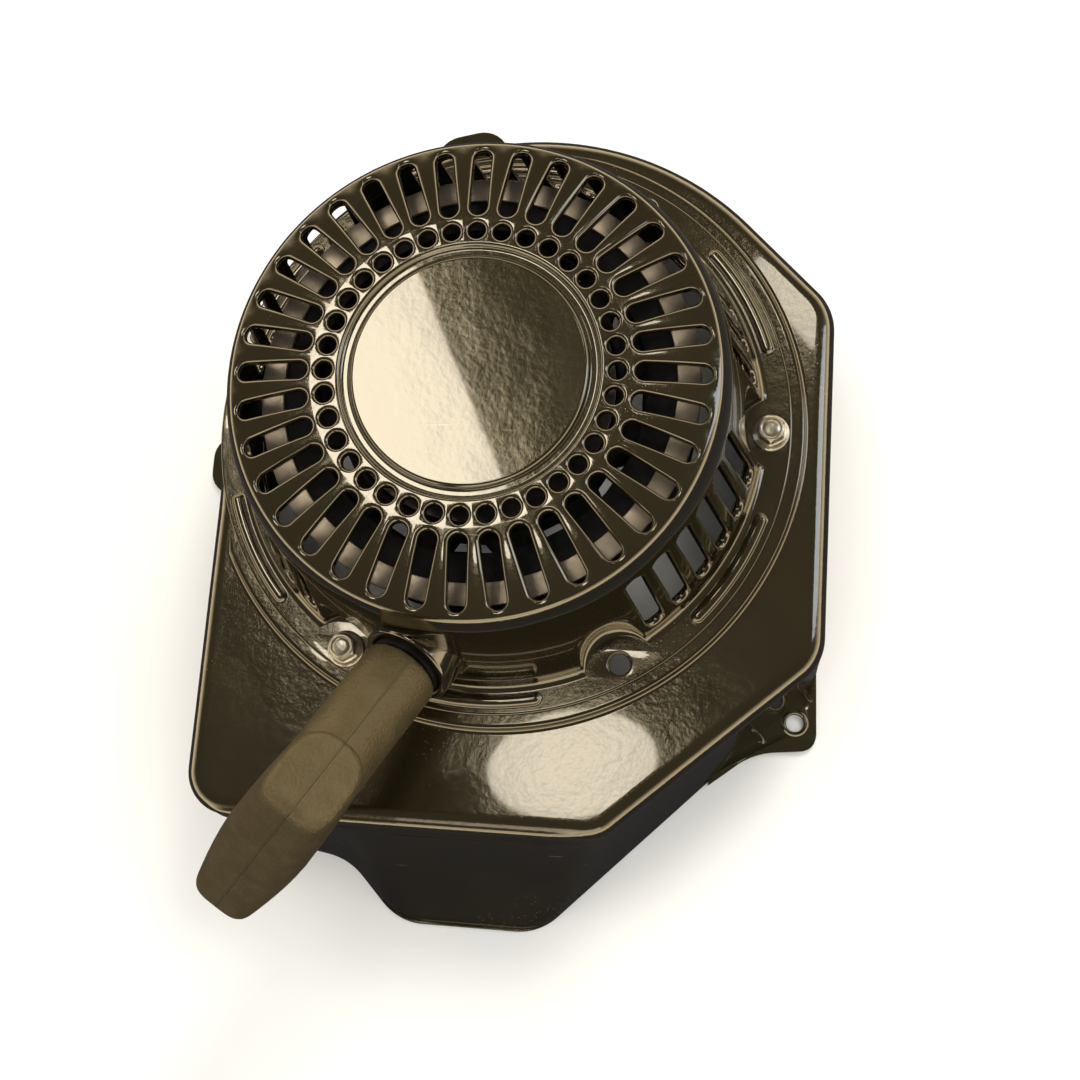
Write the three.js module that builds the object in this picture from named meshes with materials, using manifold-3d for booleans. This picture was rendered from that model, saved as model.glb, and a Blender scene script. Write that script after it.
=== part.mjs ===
// Recoil starter on the fan cover of a single-cylinder petrol engine.
// Millimetres, +Z up. The Z axis is the crank axis, and the starter's round face looks up.
// Every piece is drawn with its heights above the open back rim of the fan cover, which the part
// lies on. The whole group is then lowered by FACE_Z, so that the part's origin is the middle
// of the starter's flat outer face.
import * as THREE from 'three';
import { mergeVertices } from 'three/addons/utils/BufferGeometryUtils.js';
import Module from 'manifold-3d';

const wasm = await Module();
wasm.setup();

// ---- driving dimensions -------------------------------------------------------------------
const GAP = 0.3; // clearance between neighbouring solids
const SHEET = 1.6; // pressed steel of the fan cover and of the starter case
const ROUND = 36; // facets of a large turned surface

// fan cover
const COVER_Z = 62; // top of the cover's flat face
const COVER_EDGE = 6; // round between the face and the walls
const STEP_R = 103.5; // round raised seat for the starter
const STEP_Z = 64.6;
const AIR_R = 84; // air opening under the starter
const ROUND_X = 6.4; // centre of the round half of the outline
const ROUND_Y = 3.6;
const ROUND_R = 106.4;
const EAR_T = 2; // mounting ears on the back rim
const EAR_HOLE_R = 3.4;

// starter case
const FACE_Z = 126; // outer face of the starter
const FLANGE_Z = 66.6; // top of the case flange
const FLANGE_R = 99;
const BOLT_R = 92; // six ear positions, every 60 degrees
const BOLT_ANGLES = [0, 120, 240];
const EAR_RECESS_R = 12;
const FACE_COUNT = 36; // radial slots, and small holes inside them
const FACE_PHASE = 1.35;
const SLOT_IN = 50.2;
const SLOT_OUT = 73.8;
const SLOT_W = 5.8;
const HOLE_RING_R = 45.15;
const HOLE_R = 2.8;
const LOUVRES = 6; // upright slots in each vented sixth of the wall
const LOUVRE_PITCH = 7.6;
const LOUVRE_W = 7;
const LOUVRE_LOW = 72;
const LOUVRE_HIGH = 112;

// rope, its outlet and the pull handle
const ROPE_R = 2.5;
const OUTLET = new THREE.Vector3(-19.6, -88.6, 94.3); // middle of the neck's end
const PULL = new THREE.Vector3(-0.3876, -0.7844, 0.4843).normalize();
const BAR = new THREE.Vector3(0.4607, 0.2902, 0.8388)
  .addScaledVector(PULL, -PULL.dot(new THREE.Vector3(0.4607, 0.2902, 0.8388)))
  .normalize();
const NECK_R = 12.5;
const NECK_L = 65.5; // neck end to the middle of the cross bar
const BAR_HALF = 54;
const BAR_W = 26;
const BAR_T = 27;
const BAR_END_W = 21.5;
const GUIDE_R = 11.8;

// reel, spring and ratchet
const REEL_R = 69.8;
const REEL_TOP = 107.6;
const GROOVE_R = 55;
const GROOVE_LOW = 86.4;
const CAVITY_R = 44;
const POST_R = 9;
const WOUND_R = 63.2; // rope centre line where it leaves the reel
const PAWL_PIVOT_R = 30;
const PAWL_TOP = 91.6;
const PAWL_T = 6.4;

// ---- finishes -------------------------------------------------------------------------------
const finish = (color, roughness, metalness) =>
  new THREE.MeshStandardMaterial({ color, roughness, metalness });
const ENAMEL = [0x3a3628, 0.18, 0.35];
const GRIP = [0x5a4e3a, 0.62, 0];
const ZINC = [0xc9c8c2, 0.32, 1];
const BARE_STEEL = [0xa79c88, 0.45, 0.9];
const DARK_STEEL = [0x3b3a38, 0.4, 0.9];
const BLACK_PLASTIC = [0x1a1a1b, 0.5, 0];
const ROPE = [0x26241f, 0.85, 0];

// ---- geometry helpers -----------------------------------------------------------------------
const rad = THREE.MathUtils.degToRad;
const polar = (r, degrees) => new THREE.Vector2(r * Math.cos(rad(degrees)), r * Math.sin(rad(degrees)));

// a closed three.js geometry as a solid that can be joined and cut
function solid(geometry) {
  const source = geometry.clone();
  for (const name of ['normal', 'uv']) source.deleteAttribute(name);
  const merged = mergeVertices(source, 1e-4);
  const index = merged.index.array;
  const triangles = [];
  for (let i = 0; i < index.length; i += 3) {
    const [a, b, c] = [index[i], index[i + 1], index[i + 2]];
    if (a !== b && b !== c && c !== a) triangles.push(a, b, c);
  }
  const vertProperties = new Float32Array(merged.attributes.position.array);
  const build = (triVerts) =>
    new wasm.Manifold(new wasm.Mesh({ numProp: 3, vertProperties, triVerts }));
  const body = build(new Uint32Array(triangles));
  if (body.volume() > 0) return body;
  return build(new Uint32Array(triangles.reverse()));
}

function geometryOf(body) {
  const mesh = body.getMesh();
  const geometry = new THREE.BufferGeometry();
  geometry.setAttribute('position', new THREE.BufferAttribute(mesh.vertProperties, 3));
  geometry.setIndex(new THREE.BufferAttribute(mesh.triVerts, 1));
  geometry.computeVertexNormals();
  return geometry;
}

const join = (bodies) => bodies.reduce((sum, body) => sum.add(body));

// turned body about Z from [radius, height] points
function turned(points, segments = 48) {
  const profile = points.map(([r, z]) => new THREE.Vector2(r, z));
  return solid(new THREE.LatheGeometry(profile, segments).rotateX(Math.PI / 2));
}

// closed ring about Z: the last profile point joins the first
const turnedRing = (points, segments) => turned([...points, points[0]], segments);

const disc = (r, low, high, segments) =>
  turned([[0, low], [r, low], [r, high], [0, high]], segments);

function plate(shape, low, high, curveSegments = 4) {
  const options = { depth: high - low, bevelEnabled: false, curveSegments };
  return solid(new THREE.ExtrudeGeometry(shape, options).translate(0, 0, low));
}

function hexagon(acrossFlats) {
  const corner = acrossFlats / Math.sqrt(3);
  return new THREE.Shape([0, 60, 120, 180, 240, 300].map((a) => polar(corner, a)));
}

// slot with round ends, its length along X between x0 and x1
function slotShape(x0, x1, width) {
  const r = width / 2;
  const shape = new THREE.Shape();
  shape.absarc(x1 - r, 0, r, -Math.PI / 2, Math.PI / 2);
  shape.absarc(x0 + r, 0, r, Math.PI / 2, (3 * Math.PI) / 2);
  return shape;
}

function wire(points, radius, steps, sides = 4) {
  const section = new THREE.Shape().absarc(0, 0, radius, 0, 2 * Math.PI);
  const extrudePath = new THREE.CatmullRomCurve3(points, false, 'centripetal');
  const options = { steps, extrudePath, curveSegments: sides, bevelEnabled: false };
  return solid(new THREE.ExtrudeGeometry(section, options));
}

// skin over rings of equal point count: a tube that closes on itself, or one with two flat ends
function skin(rings, loops) {
  const count = rings[0].length;
  const points = rings.flat();
  const index = [];
  const bands = loops ? rings.length : rings.length - 1;
  for (let band = 0; band < bands; band++) {
    const low = band * count;
    const high = ((band + 1) % rings.length) * count;
    for (let i = 0; i < count; i++) {
      const j = (i + 1) % count;
      index.push(low + i, low + j, high + j, low + i, high + j, high + i);
    }
  }
  if (!loops) {
    const last = (rings.length - 1) * count;
    for (let i = 1; i < count - 1; i++) {
      index.push(0, i + 1, i, last, last + i, last + i + 1);
    }
  }
  const geometry = new THREE.BufferGeometry().setFromPoints(points);
  geometry.setIndex(index);
  return solid(geometry);
}

const spin = (body, degrees) => body.rotate([0, 0, degrees]);

// ---- fan cover ------------------------------------------------------------------------------
// An outline is a list of [x, y, tangent] corners; each corner is rounded over its tangent length.
function roundCorners(radius) {
  const half = Math.PI / 8;
  return [67.5, 112.5, 157.5].map((a) => {
    const corner = polar(radius / Math.cos(half), a);
    return [ROUND_X + corner.x, ROUND_Y + corner.y, radius * Math.tan(half)];
  });
}

const FACE_CORNERS = [
  [112.4, -74.6, 8],
  [112.4, 48, 8.3],
  ...roundCorners(ROUND_R),
  [-100, -137, 15],
  [-56, -137, 9],
  [-34, -137, 8],
  [42.3, -137, 6],
  [80, -103.4, 8],
];
const BACK_CORNERS = [
  [113.6, -74.8, 8],
  [113.6, 48.6, 8.3],
  ...roundCorners(ROUND_R + 1.5),
  [-101.5, -143, 14],
  [-56, -150.5, 8],
  [-35, -172, 9],
  [17, -172, 9],
  [68, -121, 8],
];
const CORNER_STEPS = [3, 3, 6, 6, 6, 4, 3, 3, 3, 2];
const SIDE_STEPS = [9, 3, 1, 1, 8, 2, 1, 4, 3, 3]; // straight after each corner

function outline(corners) {
  const at = corners.map(([x, y]) => new THREE.Vector2(x, y));
  const points = [];
  corners.forEach(([, , tangent], i) => {
    const before = at[(i + at.length - 1) % at.length].clone().sub(at[i]).normalize();
    const after = at[(i + 1) % at.length].clone().sub(at[i]).normalize();
    const turn = Math.PI - Math.acos(THREE.MathUtils.clamp(before.dot(after), -1, 1));
    const pull = turn < 0.01 ? 2 / 3 : (4 / 3) * Math.tan(turn / 4) / Math.tan(turn / 2);
    const start = at[i].clone().addScaledVector(before, tangent);
    const end = at[i].clone().addScaledVector(after, tangent);
    const curve = new THREE.CubicBezierCurve(
      start,
      at[i].clone().addScaledVector(before, tangent * (1 - pull)),
      at[i].clone().addScaledVector(after, tangent * (1 - pull)),
      end,
    );
    points.push(...curve.getPoints(CORNER_STEPS[i]));
    const next = (i + 1) % at.length;
    const reach = at[next].clone().addScaledVector(after, -corners[next][2]);
    for (let k = 1; k < SIDE_STEPS[i]; k++) points.push(end.clone().lerp(reach, k / SIDE_STEPS[i]));
  });
  return points.filter((p, i) => p.distanceTo(points[(i + points.length - 1) % points.length]) > 0.05);
}

// moves each point of an outline inwards by its own distance
function inset(points, distances) {
  return points.map((p, i) => {
    const back = points[(i + points.length - 1) % points.length];
    const ahead = points[(i + 1) % points.length];
    const along = ahead.clone().sub(back).normalize();
    return p.clone().add(new THREE.Vector2(-along.y, along.x).multiplyScalar(distances[i]));
  });
}

// cover surface from the back rim to the air opening, moved inwards by off
function coverRings(off) {
  const face = outline(FACE_CORNERS);
  const back = outline(BACK_CORNERS);
  const edge = face.map((p) => THREE.MathUtils.clamp((p.length() - 98) * 0.9, 1.8, COVER_EDGE));
  const lift = (points, z) => points.map((p) => new THREE.Vector3(p.x, p.y, z));
  const even = face.map(() => off);
  const low = COVER_Z - COVER_EDGE;
  const between = (share) => inset(back.map((p, i) => p.clone().lerp(face[i], share)), even);
  const rim = inset(face, edge);
  const round = (cap, trim) =>
    rim.map((p) => p.clone().setLength(Math.min(cap, p.length() - trim) - off));
  return [
    lift(between(0), 0),
    lift(between(0.62), low * 0.5),
    lift(inset(face, even), low),
    lift(inset(face, edge.map((e) => off + (e - off) * 0.29)), low + (COVER_EDGE - off) * 0.71),
    lift(inset(face, edge), COVER_Z - off),
    lift(round(STEP_R + 0.8, 0.3), COVER_Z - off),
    lift(round(STEP_R - 0.8, 1.3), STEP_Z - off),
    lift(rim.map((p) => p.clone().setLength(AIR_R)), STEP_Z - off),
  ];
}

function tongueEar(degrees, base, reach, width, corner) {
  const half = width / 2;
  const shape = new THREE.Shape();
  shape.moveTo(base, -half - 6);
  shape.quadraticCurveTo(base + 5, -half, base + 11, -half);
  shape.lineTo(reach - corner, -half);
  shape.absarc(reach - corner, -half + corner, corner, -Math.PI / 2, 0);
  shape.absarc(reach - corner, half - corner, corner, 0, Math.PI / 2);
  shape.lineTo(base + 11, half);
  shape.quadraticCurveTo(base + 5, half, base, half + 6);
  const rib = new THREE.Shape([[base, 1], [base + 12, 1], [base, 14]].map(([x, y]) => new THREE.Vector2(x, y)));
  const gusset = solid(
    new THREE.ExtrudeGeometry(rib, { depth: SHEET, bevelEnabled: false }).rotateX(Math.PI / 2),
  );
  const ribs = [-half, half].map((y) => gusset.translate([0, y * 0.9 + SHEET / 2, 0]));
  const hole = disc(EAR_HOLE_R, -1, EAR_T + 1, 12).translate([reach - 12, 0, 0]);
  return spin(join([plate(shape, 0, EAR_T), ...ribs]).subtract(hole), degrees);
}

function cornerEar() {
  const shape = new THREE.Shape();
  shape.moveTo(112.9, -74);
  shape.lineTo(113.6, -94);
  shape.quadraticCurveTo(113.4, -100, 107.5, -100.4);
  shape.lineTo(98, -101.4);
  shape.quadraticCurveTo(90, -102.6, 84, -108);
  shape.lineTo(77, -113.4);
  shape.lineTo(77, -111.6);
  shape.lineTo(110.8, -77.4);
  const corner = new THREE.Vector2(105.8, -90.3);
  const hole = disc(EAR_HOLE_R - 0.2, -1, EAR_T + 1, 12).translate([corner.x, corner.y, 0]);
  const rib = new THREE.Shape([[0, 1], [5.6, 1], [0, 10]].map(([x, y]) => new THREE.Vector2(x, y)));
  const gusset = solid(
    new THREE.ExtrudeGeometry(rib, { depth: SHEET, bevelEnabled: false }).rotateX(Math.PI / 2),
  ).rotate([0, 0, -45]);
  const ribs = [gusset.translate([108.6, -79.4, 0]), gusset.translate([92.5, -95.6, 0])];
  return join([plate(shape, 0, EAR_T), ...ribs]).subtract(hole);
}

function fanCover() {
  const shell = skin([...coverRings(0), ...coverRings(SHEET).reverse()], true);
  const ears = [cornerEar(), tongueEar(103.5, 106.6, 146, 30, 11), tongueEar(180.5, 100.4, 126.4, 24, 9)];
  const holes = [0, 60, 120, 180, 240, 300].map((a) =>
    spin(disc(3.5, 50, 70, 12).translate([BOLT_R, 0, 0]), a));
  return join([shell, ...ears]).subtract(join(holes));
}

// ---- starter case ---------------------------------------------------------------------------
// profile of the cup from its middle to the foot of its wall, moved inwards by off
function cupProfile(off) {
  const dome = (r) => FACE_Z - off - 3.7 * Math.max(0, (r - 45) / 29.5) ** 2;
  return [
    [0, FACE_Z - off],
    [36 - off * 0.4, FACE_Z - off],
    [37.3, FACE_Z - 1.5 - off],
    [39.4, FACE_Z - 1.5 - off],
    [40.7 + off * 0.4, FACE_Z - off],
    [50, dome(50)],
    [74 - off * 0.5, dome(74)],
    [77.2 - off * 0.8, 120.4 - off * 0.6],
    [79 - off, 116],
    [88.4 - off, 71],
    [90.4 - off, FLANGE_Z],
  ];
}

// arched pocket around a bolt, so the bolt head is reached past the wall
function recess(off, low) {
  const r = EAR_RECESS_R + off;
  const shoulder = 84;
  const dome = [25, 50, 72].map((a) => [r * Math.cos(rad(a)), shoulder + (15 + off) * Math.sin(rad(a))]);
  return turned([[0, low], [r, low], [r, shoulder], ...dome, [0, shoulder + 15 + off]], 12)
    .translate([BOLT_R, 0, 0]);
}

function louvre() {
  const slot = new THREE.BoxGeometry(24, LOUVRE_W, LOUVRE_HIGH - LOUVRE_LOW);
  return solid(slot.translate(86, 0, (LOUVRE_HIGH + LOUVRE_LOW) / 2));
}

// along: distance from the outlet point along the pull direction
const outletRod = (r, from, to, segments) => placeOnPull(disc(r, from, to, segments));

function pullFrame() {
  const side = new THREE.Vector3().crossVectors(BAR, PULL);
  return new THREE.Matrix4().makeBasis(side, BAR, PULL).setPosition(OUTLET);
}

function placeOnPull(body) {
  return body.transform(pullFrame().toArray());
}

function starterCase() {
  const ears = [0, 60, 120, 180, 240, 300];
  const low = FLANGE_Z - SHEET;
  const outer = turned([[0, low], [90.4, low], ...cupProfile(0).reverse()], ROUND);
  const inner = turned([[0, low - 3], [90.4 - SHEET, low - 3], ...cupProfile(SHEET).reverse()], ROUND);
  const flange = disc(FLANGE_R, low, FLANGE_Z, ROUND);
  const bead = new THREE.Shape();
  bead.absarc(0, 0, 96.6, rad(17.5), rad(42.5), false);
  bead.absarc(0, 0, 92.6, rad(42.5), rad(17.5), true);
  const beads = ears.map((a) => spin(plate(bead, low + 0.4, FLANGE_Z + 1.6, 3), a));
  const pockets = join(ears.map((a) => spin(recess(0, FLANGE_Z), a)));
  const pocketWalls = join(ears.map((a) => spin(recess(SHEET, low - 4), a)));
  const room = inner.subtract(pocketWalls);
  const boss = outletRod(15, -18, -2, 16).subtract(disc(74, 60, 124, 24));
  const shell = join([outer, flange, ...beads]).subtract(pockets).add(boss).subtract(room);

  const cuts = [];
  const slot = plate(slotShape(SLOT_IN, SLOT_OUT, SLOT_W), 116, 130, 2);
  const hole = disc(HOLE_R, 120, 130, 6).translate([HOLE_RING_R, 0, 0]);
  for (let i = 0; i < FACE_COUNT; i++) {
    const a = FACE_PHASE + (360 / FACE_COUNT) * i;
    cuts.push(spin(slot, a), spin(hole, a));
  }
  for (const sector of [30, 90, 150, 210, 330]) {
    for (let i = 0; i < LOUVRES; i++) {
      cuts.push(spin(louvre(), sector + (i - (LOUVRES - 1) / 2) * LOUVRE_PITCH));
    }
  }
  for (const a of ears) cuts.push(spin(disc(3.75, 60, 70, 8).translate([BOLT_R, 0, 0]), a));
  cuts.push(outletRod(GUIDE_R + GAP, -30, 4, 16));
  return shell.subtract(join(cuts));
}

function centrePost() {
  const top = FACE_Z - SHEET - GAP;
  return turned([
    [0, 104], [3.2, 104], [3.2, 87], [POST_R, 87], [POST_R, 119.5], [13, 121.5], [19, 122.4],
    [19, top], [0, top],
  ], 24);
}

// ---- rope outlet and pull handle --------------------------------------------------------------
function ropeGuide() {
  return placeOnPull(turnedRing([
    [6.2, -12.5], [GUIDE_R, -12.5], [GUIDE_R, -1], [GUIDE_R - 0.6, -0.4], [6.4, -0.4],
    [4.2, -1.6], [3.4, -4], [3.4, -9], [4.2, -11.4],
  ], 20));
}

function barSection(y, width, thickness) {
  const count = 16;
  return Array.from({ length: count }, (_, i) => {
    const a = (2 * Math.PI * i) / count;
    const power = Math.sin(a) > 0 ? 0.5 : 0.78;
    const bulge = (v) => Math.sign(v) * Math.abs(v) ** power;
    return new THREE.Vector3((bulge(Math.cos(a)) * width) / 2, y, (bulge(Math.sin(a)) * thickness) / 2);
  });
}

function pullHandle() {
  const stations = [[-1, 0.76], [-0.985, 0.9], [-0.95, 0.975], [-0.91, 1], [-0.45, 1], [0, 1]];
  const all = [...stations, ...stations.slice(0, -1).reverse().map(([y, s]) => [-y, s])];
  const bar = skin(all.map(([share, scale]) => {
    const taper = Math.abs(share) ** 1.6;
    const width = BAR_W + (BAR_END_W - BAR_W) * taper;
    return barSection(share * BAR_HALF, width * scale, (BAR_T - 1.2 * taper) * scale);
  }), false).translate([0, 0, NECK_L]);
  const neck = turned([
    [0, 0], [NECK_R - 1.4, 0], [NECK_R - 0.3, 0.6], [NECK_R, 2], [NECK_R, NECK_L - 15],
    [NECK_R + 0.4, NECK_L], [0, NECK_L],
  ], 24);
  const bore = disc(ROPE_R + 0.6, -1, NECK_L - 6, 12);
  const pocket = turned([
    [0, NECK_L - 7], [6.8, NECK_L - 6], [6.8, NECK_L + 5], [4.5, NECK_L + 7.4], [0, NECK_L + 7.4],
  ], 16);
  return placeOnPull(neck.add(bar).subtract(bore).subtract(pocket));
}

// rope inside the grip, and the knot that holds it
function ropeTail() {
  return placeOnPull(turned([
    [0, 0.4], [ROPE_R, 0.4], [ROPE_R, NECK_L - 6.4], [5, NECK_L - 5.6], [6.2, NECK_L - 2.5],
    [6, NECK_L + 1], [3.6, NECK_L + 4], [0, NECK_L + 5],
  ], 12));
}

// rope from the last turn on the reel, over the guide's edge and out through it
function ropeRun() {
  const z = 89.9;
  const onReel = [-34, -44, -54, -62.7].map((a) => polar(WOUND_R, a));
  const along = (distance) => OUTLET.clone().addScaledVector(PULL, distance);
  return wire([
    ...onReel.map((p) => new THREE.Vector3(p.x, p.y, z)),
    new THREE.Vector3(14.5, -64.2, z),
    new THREE.Vector3(2.5, -70.3, z - 0.2),
    new THREE.Vector3(-7.2, -75, 88.9),
    along(-13),
    along(-9),
    along(-4),
    along(0),
  ], ROPE_R, 22);
}

// ---- reel and rewind spring -----------------------------------------------------------------
function ropeReel() {
  const body = turnedRing([
    [POST_R + 0.4, 88], [15, 88], [15, 92], [53, 92], [53, GROOVE_LOW - 2.2],
    [68.4, GROOVE_LOW - 2.2], [68.4, GROOVE_LOW], [GROOVE_R, GROOVE_LOW], [GROOVE_R, 105.8],
    [68, 105.8], [68, REEL_TOP], [53, REEL_TOP], [53, 100.5], [46, 100.5], [46, 109], [CAVITY_R, 109], [CAVITY_R, 95], [13.6, 95],
    [13.6, 116], [POST_R + 0.4, 116],
  ], ROUND);
  const window = new THREE.Shape([
    polar(47.2, -6), polar(51.8, -8.5), polar(51.8, 8.5), polar(47.2, 4),
  ]);
  const windows = Array.from({ length: 12 }, (_, i) => spin(plate(window, 80, 104, 1), i * 30));
  return body.subtract(join(windows));
}

const reelRim = () => turnedRing([
  [62.5, REEL_TOP + GAP], [REEL_R, REEL_TOP + GAP], [REEL_R, REEL_TOP + 1.5 + GAP],
  [62.5, REEL_TOP + 1.5 + GAP],
], ROUND);

const ropeCoil = () => turnedRing([
  [GROOVE_R + GAP, 94], [59.2, 94.2], [60, 96.6], [59.2, 99.2], [64.2, 99.6], [65.2, 102.2],
  [64.2, 105], [GROOVE_R + GAP, 105.2],
], ROUND);

const springCover = () => turnedRing([
  [14.4, 107.2], [43.5, 107.2], [43.5, 108.4], [14.4, 108.4],
], ROUND);

function rewindSpring() {
  const turns = 6;
  const thickness = 0.9;
  const edge = (side) => Array.from({ length: turns * 16 + 1 }, (_, i) => {
    const share = i / (turns * 16);
    return polar(15 + 27 * share + side * thickness / 2, 360 * turns * share);
  });
  return plate(new THREE.Shape([...edge(1), ...edge(-1).reverse()]), 95.4, 106.8);
}

// ---- ratchet under the reel -----------------------------------------------------------------
function pawl() {
  const shape = new THREE.Shape();
  shape.moveTo(-5.5, -2);
  shape.quadraticCurveTo(-5.5, 5.5, 2, 5.5);
  shape.lineTo(15, 8.5);
  shape.lineTo(20.5, 4.5);
  shape.lineTo(18, 1.5);
  shape.lineTo(8, -3);
  shape.quadraticCurveTo(2, -6.5, -2.5, -5);
  shape.quadraticCurveTo(-5, -4.4, -5.5, -2);
  const body = plate(shape, PAWL_TOP - PAWL_T, PAWL_TOP - 0.2, 4);
  const bore = disc(3.3, 70, 100, 12);
  return body.subtract(bore).rotate([0, 0, 105]).mirror([0, 1, 0]).translate([PAWL_PIVOT_R, 0, 0]);
}

const pawlPin = () => turned([
  [0, 82.6], [4.6, 82.6], [4.6, 84.2], [3, 84.2], [3, 89.2], [0, 89.2],
], 16).translate([PAWL_PIVOT_R, 0, 0]);

function pawlSpring() {
  const points = Array.from({ length: 21 }, (_, i) => {
    const p = polar(6.4, 20 + i * 15);
    return new THREE.Vector3(p.x, p.y, 83.4);
  });
  points.push(new THREE.Vector3(15.5, -1.5, 83.4));
  return wire(points, 0.5, 24, 3).rotate([0, 0, 120]).mirror([0, 1, 0]).translate([PAWL_PIVOT_R, 0, 0]);
}

function guidePlate() {
  const round = turnedRing([[4.2, 77.4], [11, 77.4], [12.5, 79.6], [22, 79.6], [22, 81.2],
    [12, 81.2], [10, 79.2], [4.2, 79.2]], 32);
  const wing = new THREE.Shape([polar(20, -18), polar(36, -12), polar(37, 0), polar(36, 12), polar(20, 18)]);
  return join([round, ...[70, 250].map((a) => spin(plate(wing, 79.6, 81.2), a))]);
}

function frictionSpring() {
  const points = Array.from({ length: 23 }, (_, i) => {
    const p = polar(15.5, i * 13.5);
    return new THREE.Vector3(p.x, p.y, 82.4);
  });
  return wire(points, 0.8, 28, 3);
}

const thrustWasher = () => turnedRing([[3.4, 84], [13.5, 84], [13.5, 86.4], [3.4, 86.4]], 32);

function centreBolt() {
  const head = plate(hexagon(10), 70, 75.2);
  const shank = turned([[0, 75], [9.5, 75], [9.5, 77], [2.9, 77], [2.9, 101], [0, 103]], 20);
  return head.add(shank);
}

// ---- fasteners between the case and the cover -------------------------------------------------
function caseBolt() {
  const seat = FLANGE_Z + GAP;
  const head = turned([[0, seat + 1], [4.7, seat + 1], [4.7, seat + 5.4], [3.6, seat + 6.4], [0, seat + 6.6]], 12)
    .intersect(plate(hexagon(8.4), seat, seat + 8));
  const shank = turned([
    [0, 55], [2.2, 55], [2.9, 56], [2.9, seat], [6.2, seat], [6.2, seat + 0.8], [4.6, seat + 1.6],
    [0, seat + 1.6],
  ], 16);
  return head.add(shank).translate([BOLT_R, 0, 0]);
}

function weldNut() {
  const high = STEP_Z - SHEET - GAP;
  const nut = spin(plate(hexagon(9.6), high - 5, high), 30);
  return nut.subtract(disc(3.2, 50, 70, 12)).translate([BOLT_R, 0, 0]);
}

// ---- assembly -------------------------------------------------------------------------------
const starter = new THREE.Group();
starter.name = 'recoil_starter_assembly';
starter.position.z = -FACE_Z;

function add(name, body, look) {
  const mesh = new THREE.Mesh(geometryOf(body), finish(...look));
  mesh.name = name;
  starter.add(mesh);
}

add('fan_cover', fanCover(), ENAMEL);
add('starter_case', starterCase(), ENAMEL);
add('centre_post', centrePost(), ZINC);
add('rope_guide', ropeGuide(), BLACK_PLASTIC);
add('pull_handle', pullHandle(), GRIP);
add('rope_tail', ropeTail(), ROPE);
add('rope_run', ropeRun(), ROPE);
add('rope_coil', ropeCoil(), ROPE);
add('rope_reel', ropeReel(), BLACK_PLASTIC);
add('reel_rim', reelRim(), BARE_STEEL);
add('spring_cover', springCover(), DARK_STEEL);
add('rewind_spring', rewindSpring(), DARK_STEEL);
add('guide_plate', guidePlate(), ZINC);
add('friction_spring', frictionSpring(), DARK_STEEL);
add('thrust_washer', thrustWasher(), BLACK_PLASTIC);
add('centre_bolt', centreBolt(), ZINC);
['a', 'b'].forEach((letter, i) => {
  add(`pawl_${letter}`, spin(pawl(), 180 * i), BARE_STEEL);
  add(`pawl_pin_${letter}`, spin(pawlPin(), 180 * i), ZINC);
  add(`pawl_spring_${letter}`, spin(pawlSpring(), 180 * i), DARK_STEEL);
});
BOLT_ANGLES.forEach((angle, i) => {
  add(`case_bolt_${i + 1}`, spin(caseBolt(), angle), ZINC);
  add(`weld_nut_${i + 1}`, spin(weldNut(), angle), ZINC);
});

export default starter;
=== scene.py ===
# %% [markdown]
# # A recoil starter on its fan cover
# The real object is the pull starter of a small petrol engine: a pressed steel cup full of slots,
# bolted to a pressed steel fan cover, with a rope that ends in a moulded grip. Both pressings
# are dipped in a glossy dark enamel. The exact CAD model is loaded first, as a frame that nothing
# here may move. Every piece is then drawn again over it, with the rolled edges, grain and paint
# that a CAD solid doesn't carry.

# %% Load the frame
import math

import bmesh
import bpy
import numpy as np
from mathutils import Matrix, Vector
from mathutils.geometry import tessellate_polygon


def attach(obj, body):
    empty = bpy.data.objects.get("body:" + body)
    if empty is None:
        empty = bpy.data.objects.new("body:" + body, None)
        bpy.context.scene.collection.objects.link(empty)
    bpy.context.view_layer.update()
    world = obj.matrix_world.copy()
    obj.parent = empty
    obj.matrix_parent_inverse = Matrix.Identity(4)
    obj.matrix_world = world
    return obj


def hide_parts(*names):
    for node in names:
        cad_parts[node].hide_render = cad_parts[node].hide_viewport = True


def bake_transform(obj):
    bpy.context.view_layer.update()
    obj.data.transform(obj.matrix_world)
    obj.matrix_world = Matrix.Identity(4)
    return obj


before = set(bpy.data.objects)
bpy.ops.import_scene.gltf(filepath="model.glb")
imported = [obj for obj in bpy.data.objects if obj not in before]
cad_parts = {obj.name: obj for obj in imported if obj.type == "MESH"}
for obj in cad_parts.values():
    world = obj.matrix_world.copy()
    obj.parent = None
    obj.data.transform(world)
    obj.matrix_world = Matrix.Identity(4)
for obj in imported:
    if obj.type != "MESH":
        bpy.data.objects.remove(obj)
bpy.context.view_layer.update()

# %% [markdown]
# ## Units and places
# A maker measures this part in millimetres above its open back rim, on which it stands. Blender
# works in metres, and the frame's origin is the middle of the starter's outer face. So
# points are written in millimetres with heights above the rim, and one function moves them.

# %% From millimetres above the rim to the frame
MM = 0.001
FACE_Z = 126.0  # the starter's outer face above the rim


def placed(points):
    """Points in millimetres above the rim, as metres in the frame."""
    moved = np.array(points, float).reshape(-1, 3) * MM
    moved[:, 2] -= FACE_Z * MM
    return moved


def polar(r, degrees, z=0.0):
    a = math.radians(degrees)
    return (r * math.cos(a), r * math.sin(a), z)


def unit(v):
    v = np.array(v, float)
    return v / np.linalg.norm(v)


def around(angles, r, z):
    """Points at angles in radians round the crank axis, r away from it, at height z."""
    return np.column_stack([r * np.cos(angles), r * np.sin(angles), np.broadcast_to(z, len(angles))])


def smoothstep(x, low, high):
    s = np.clip((x - low) / (high - low), 0, 1)
    return s * s * (3 - 2 * s)


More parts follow.
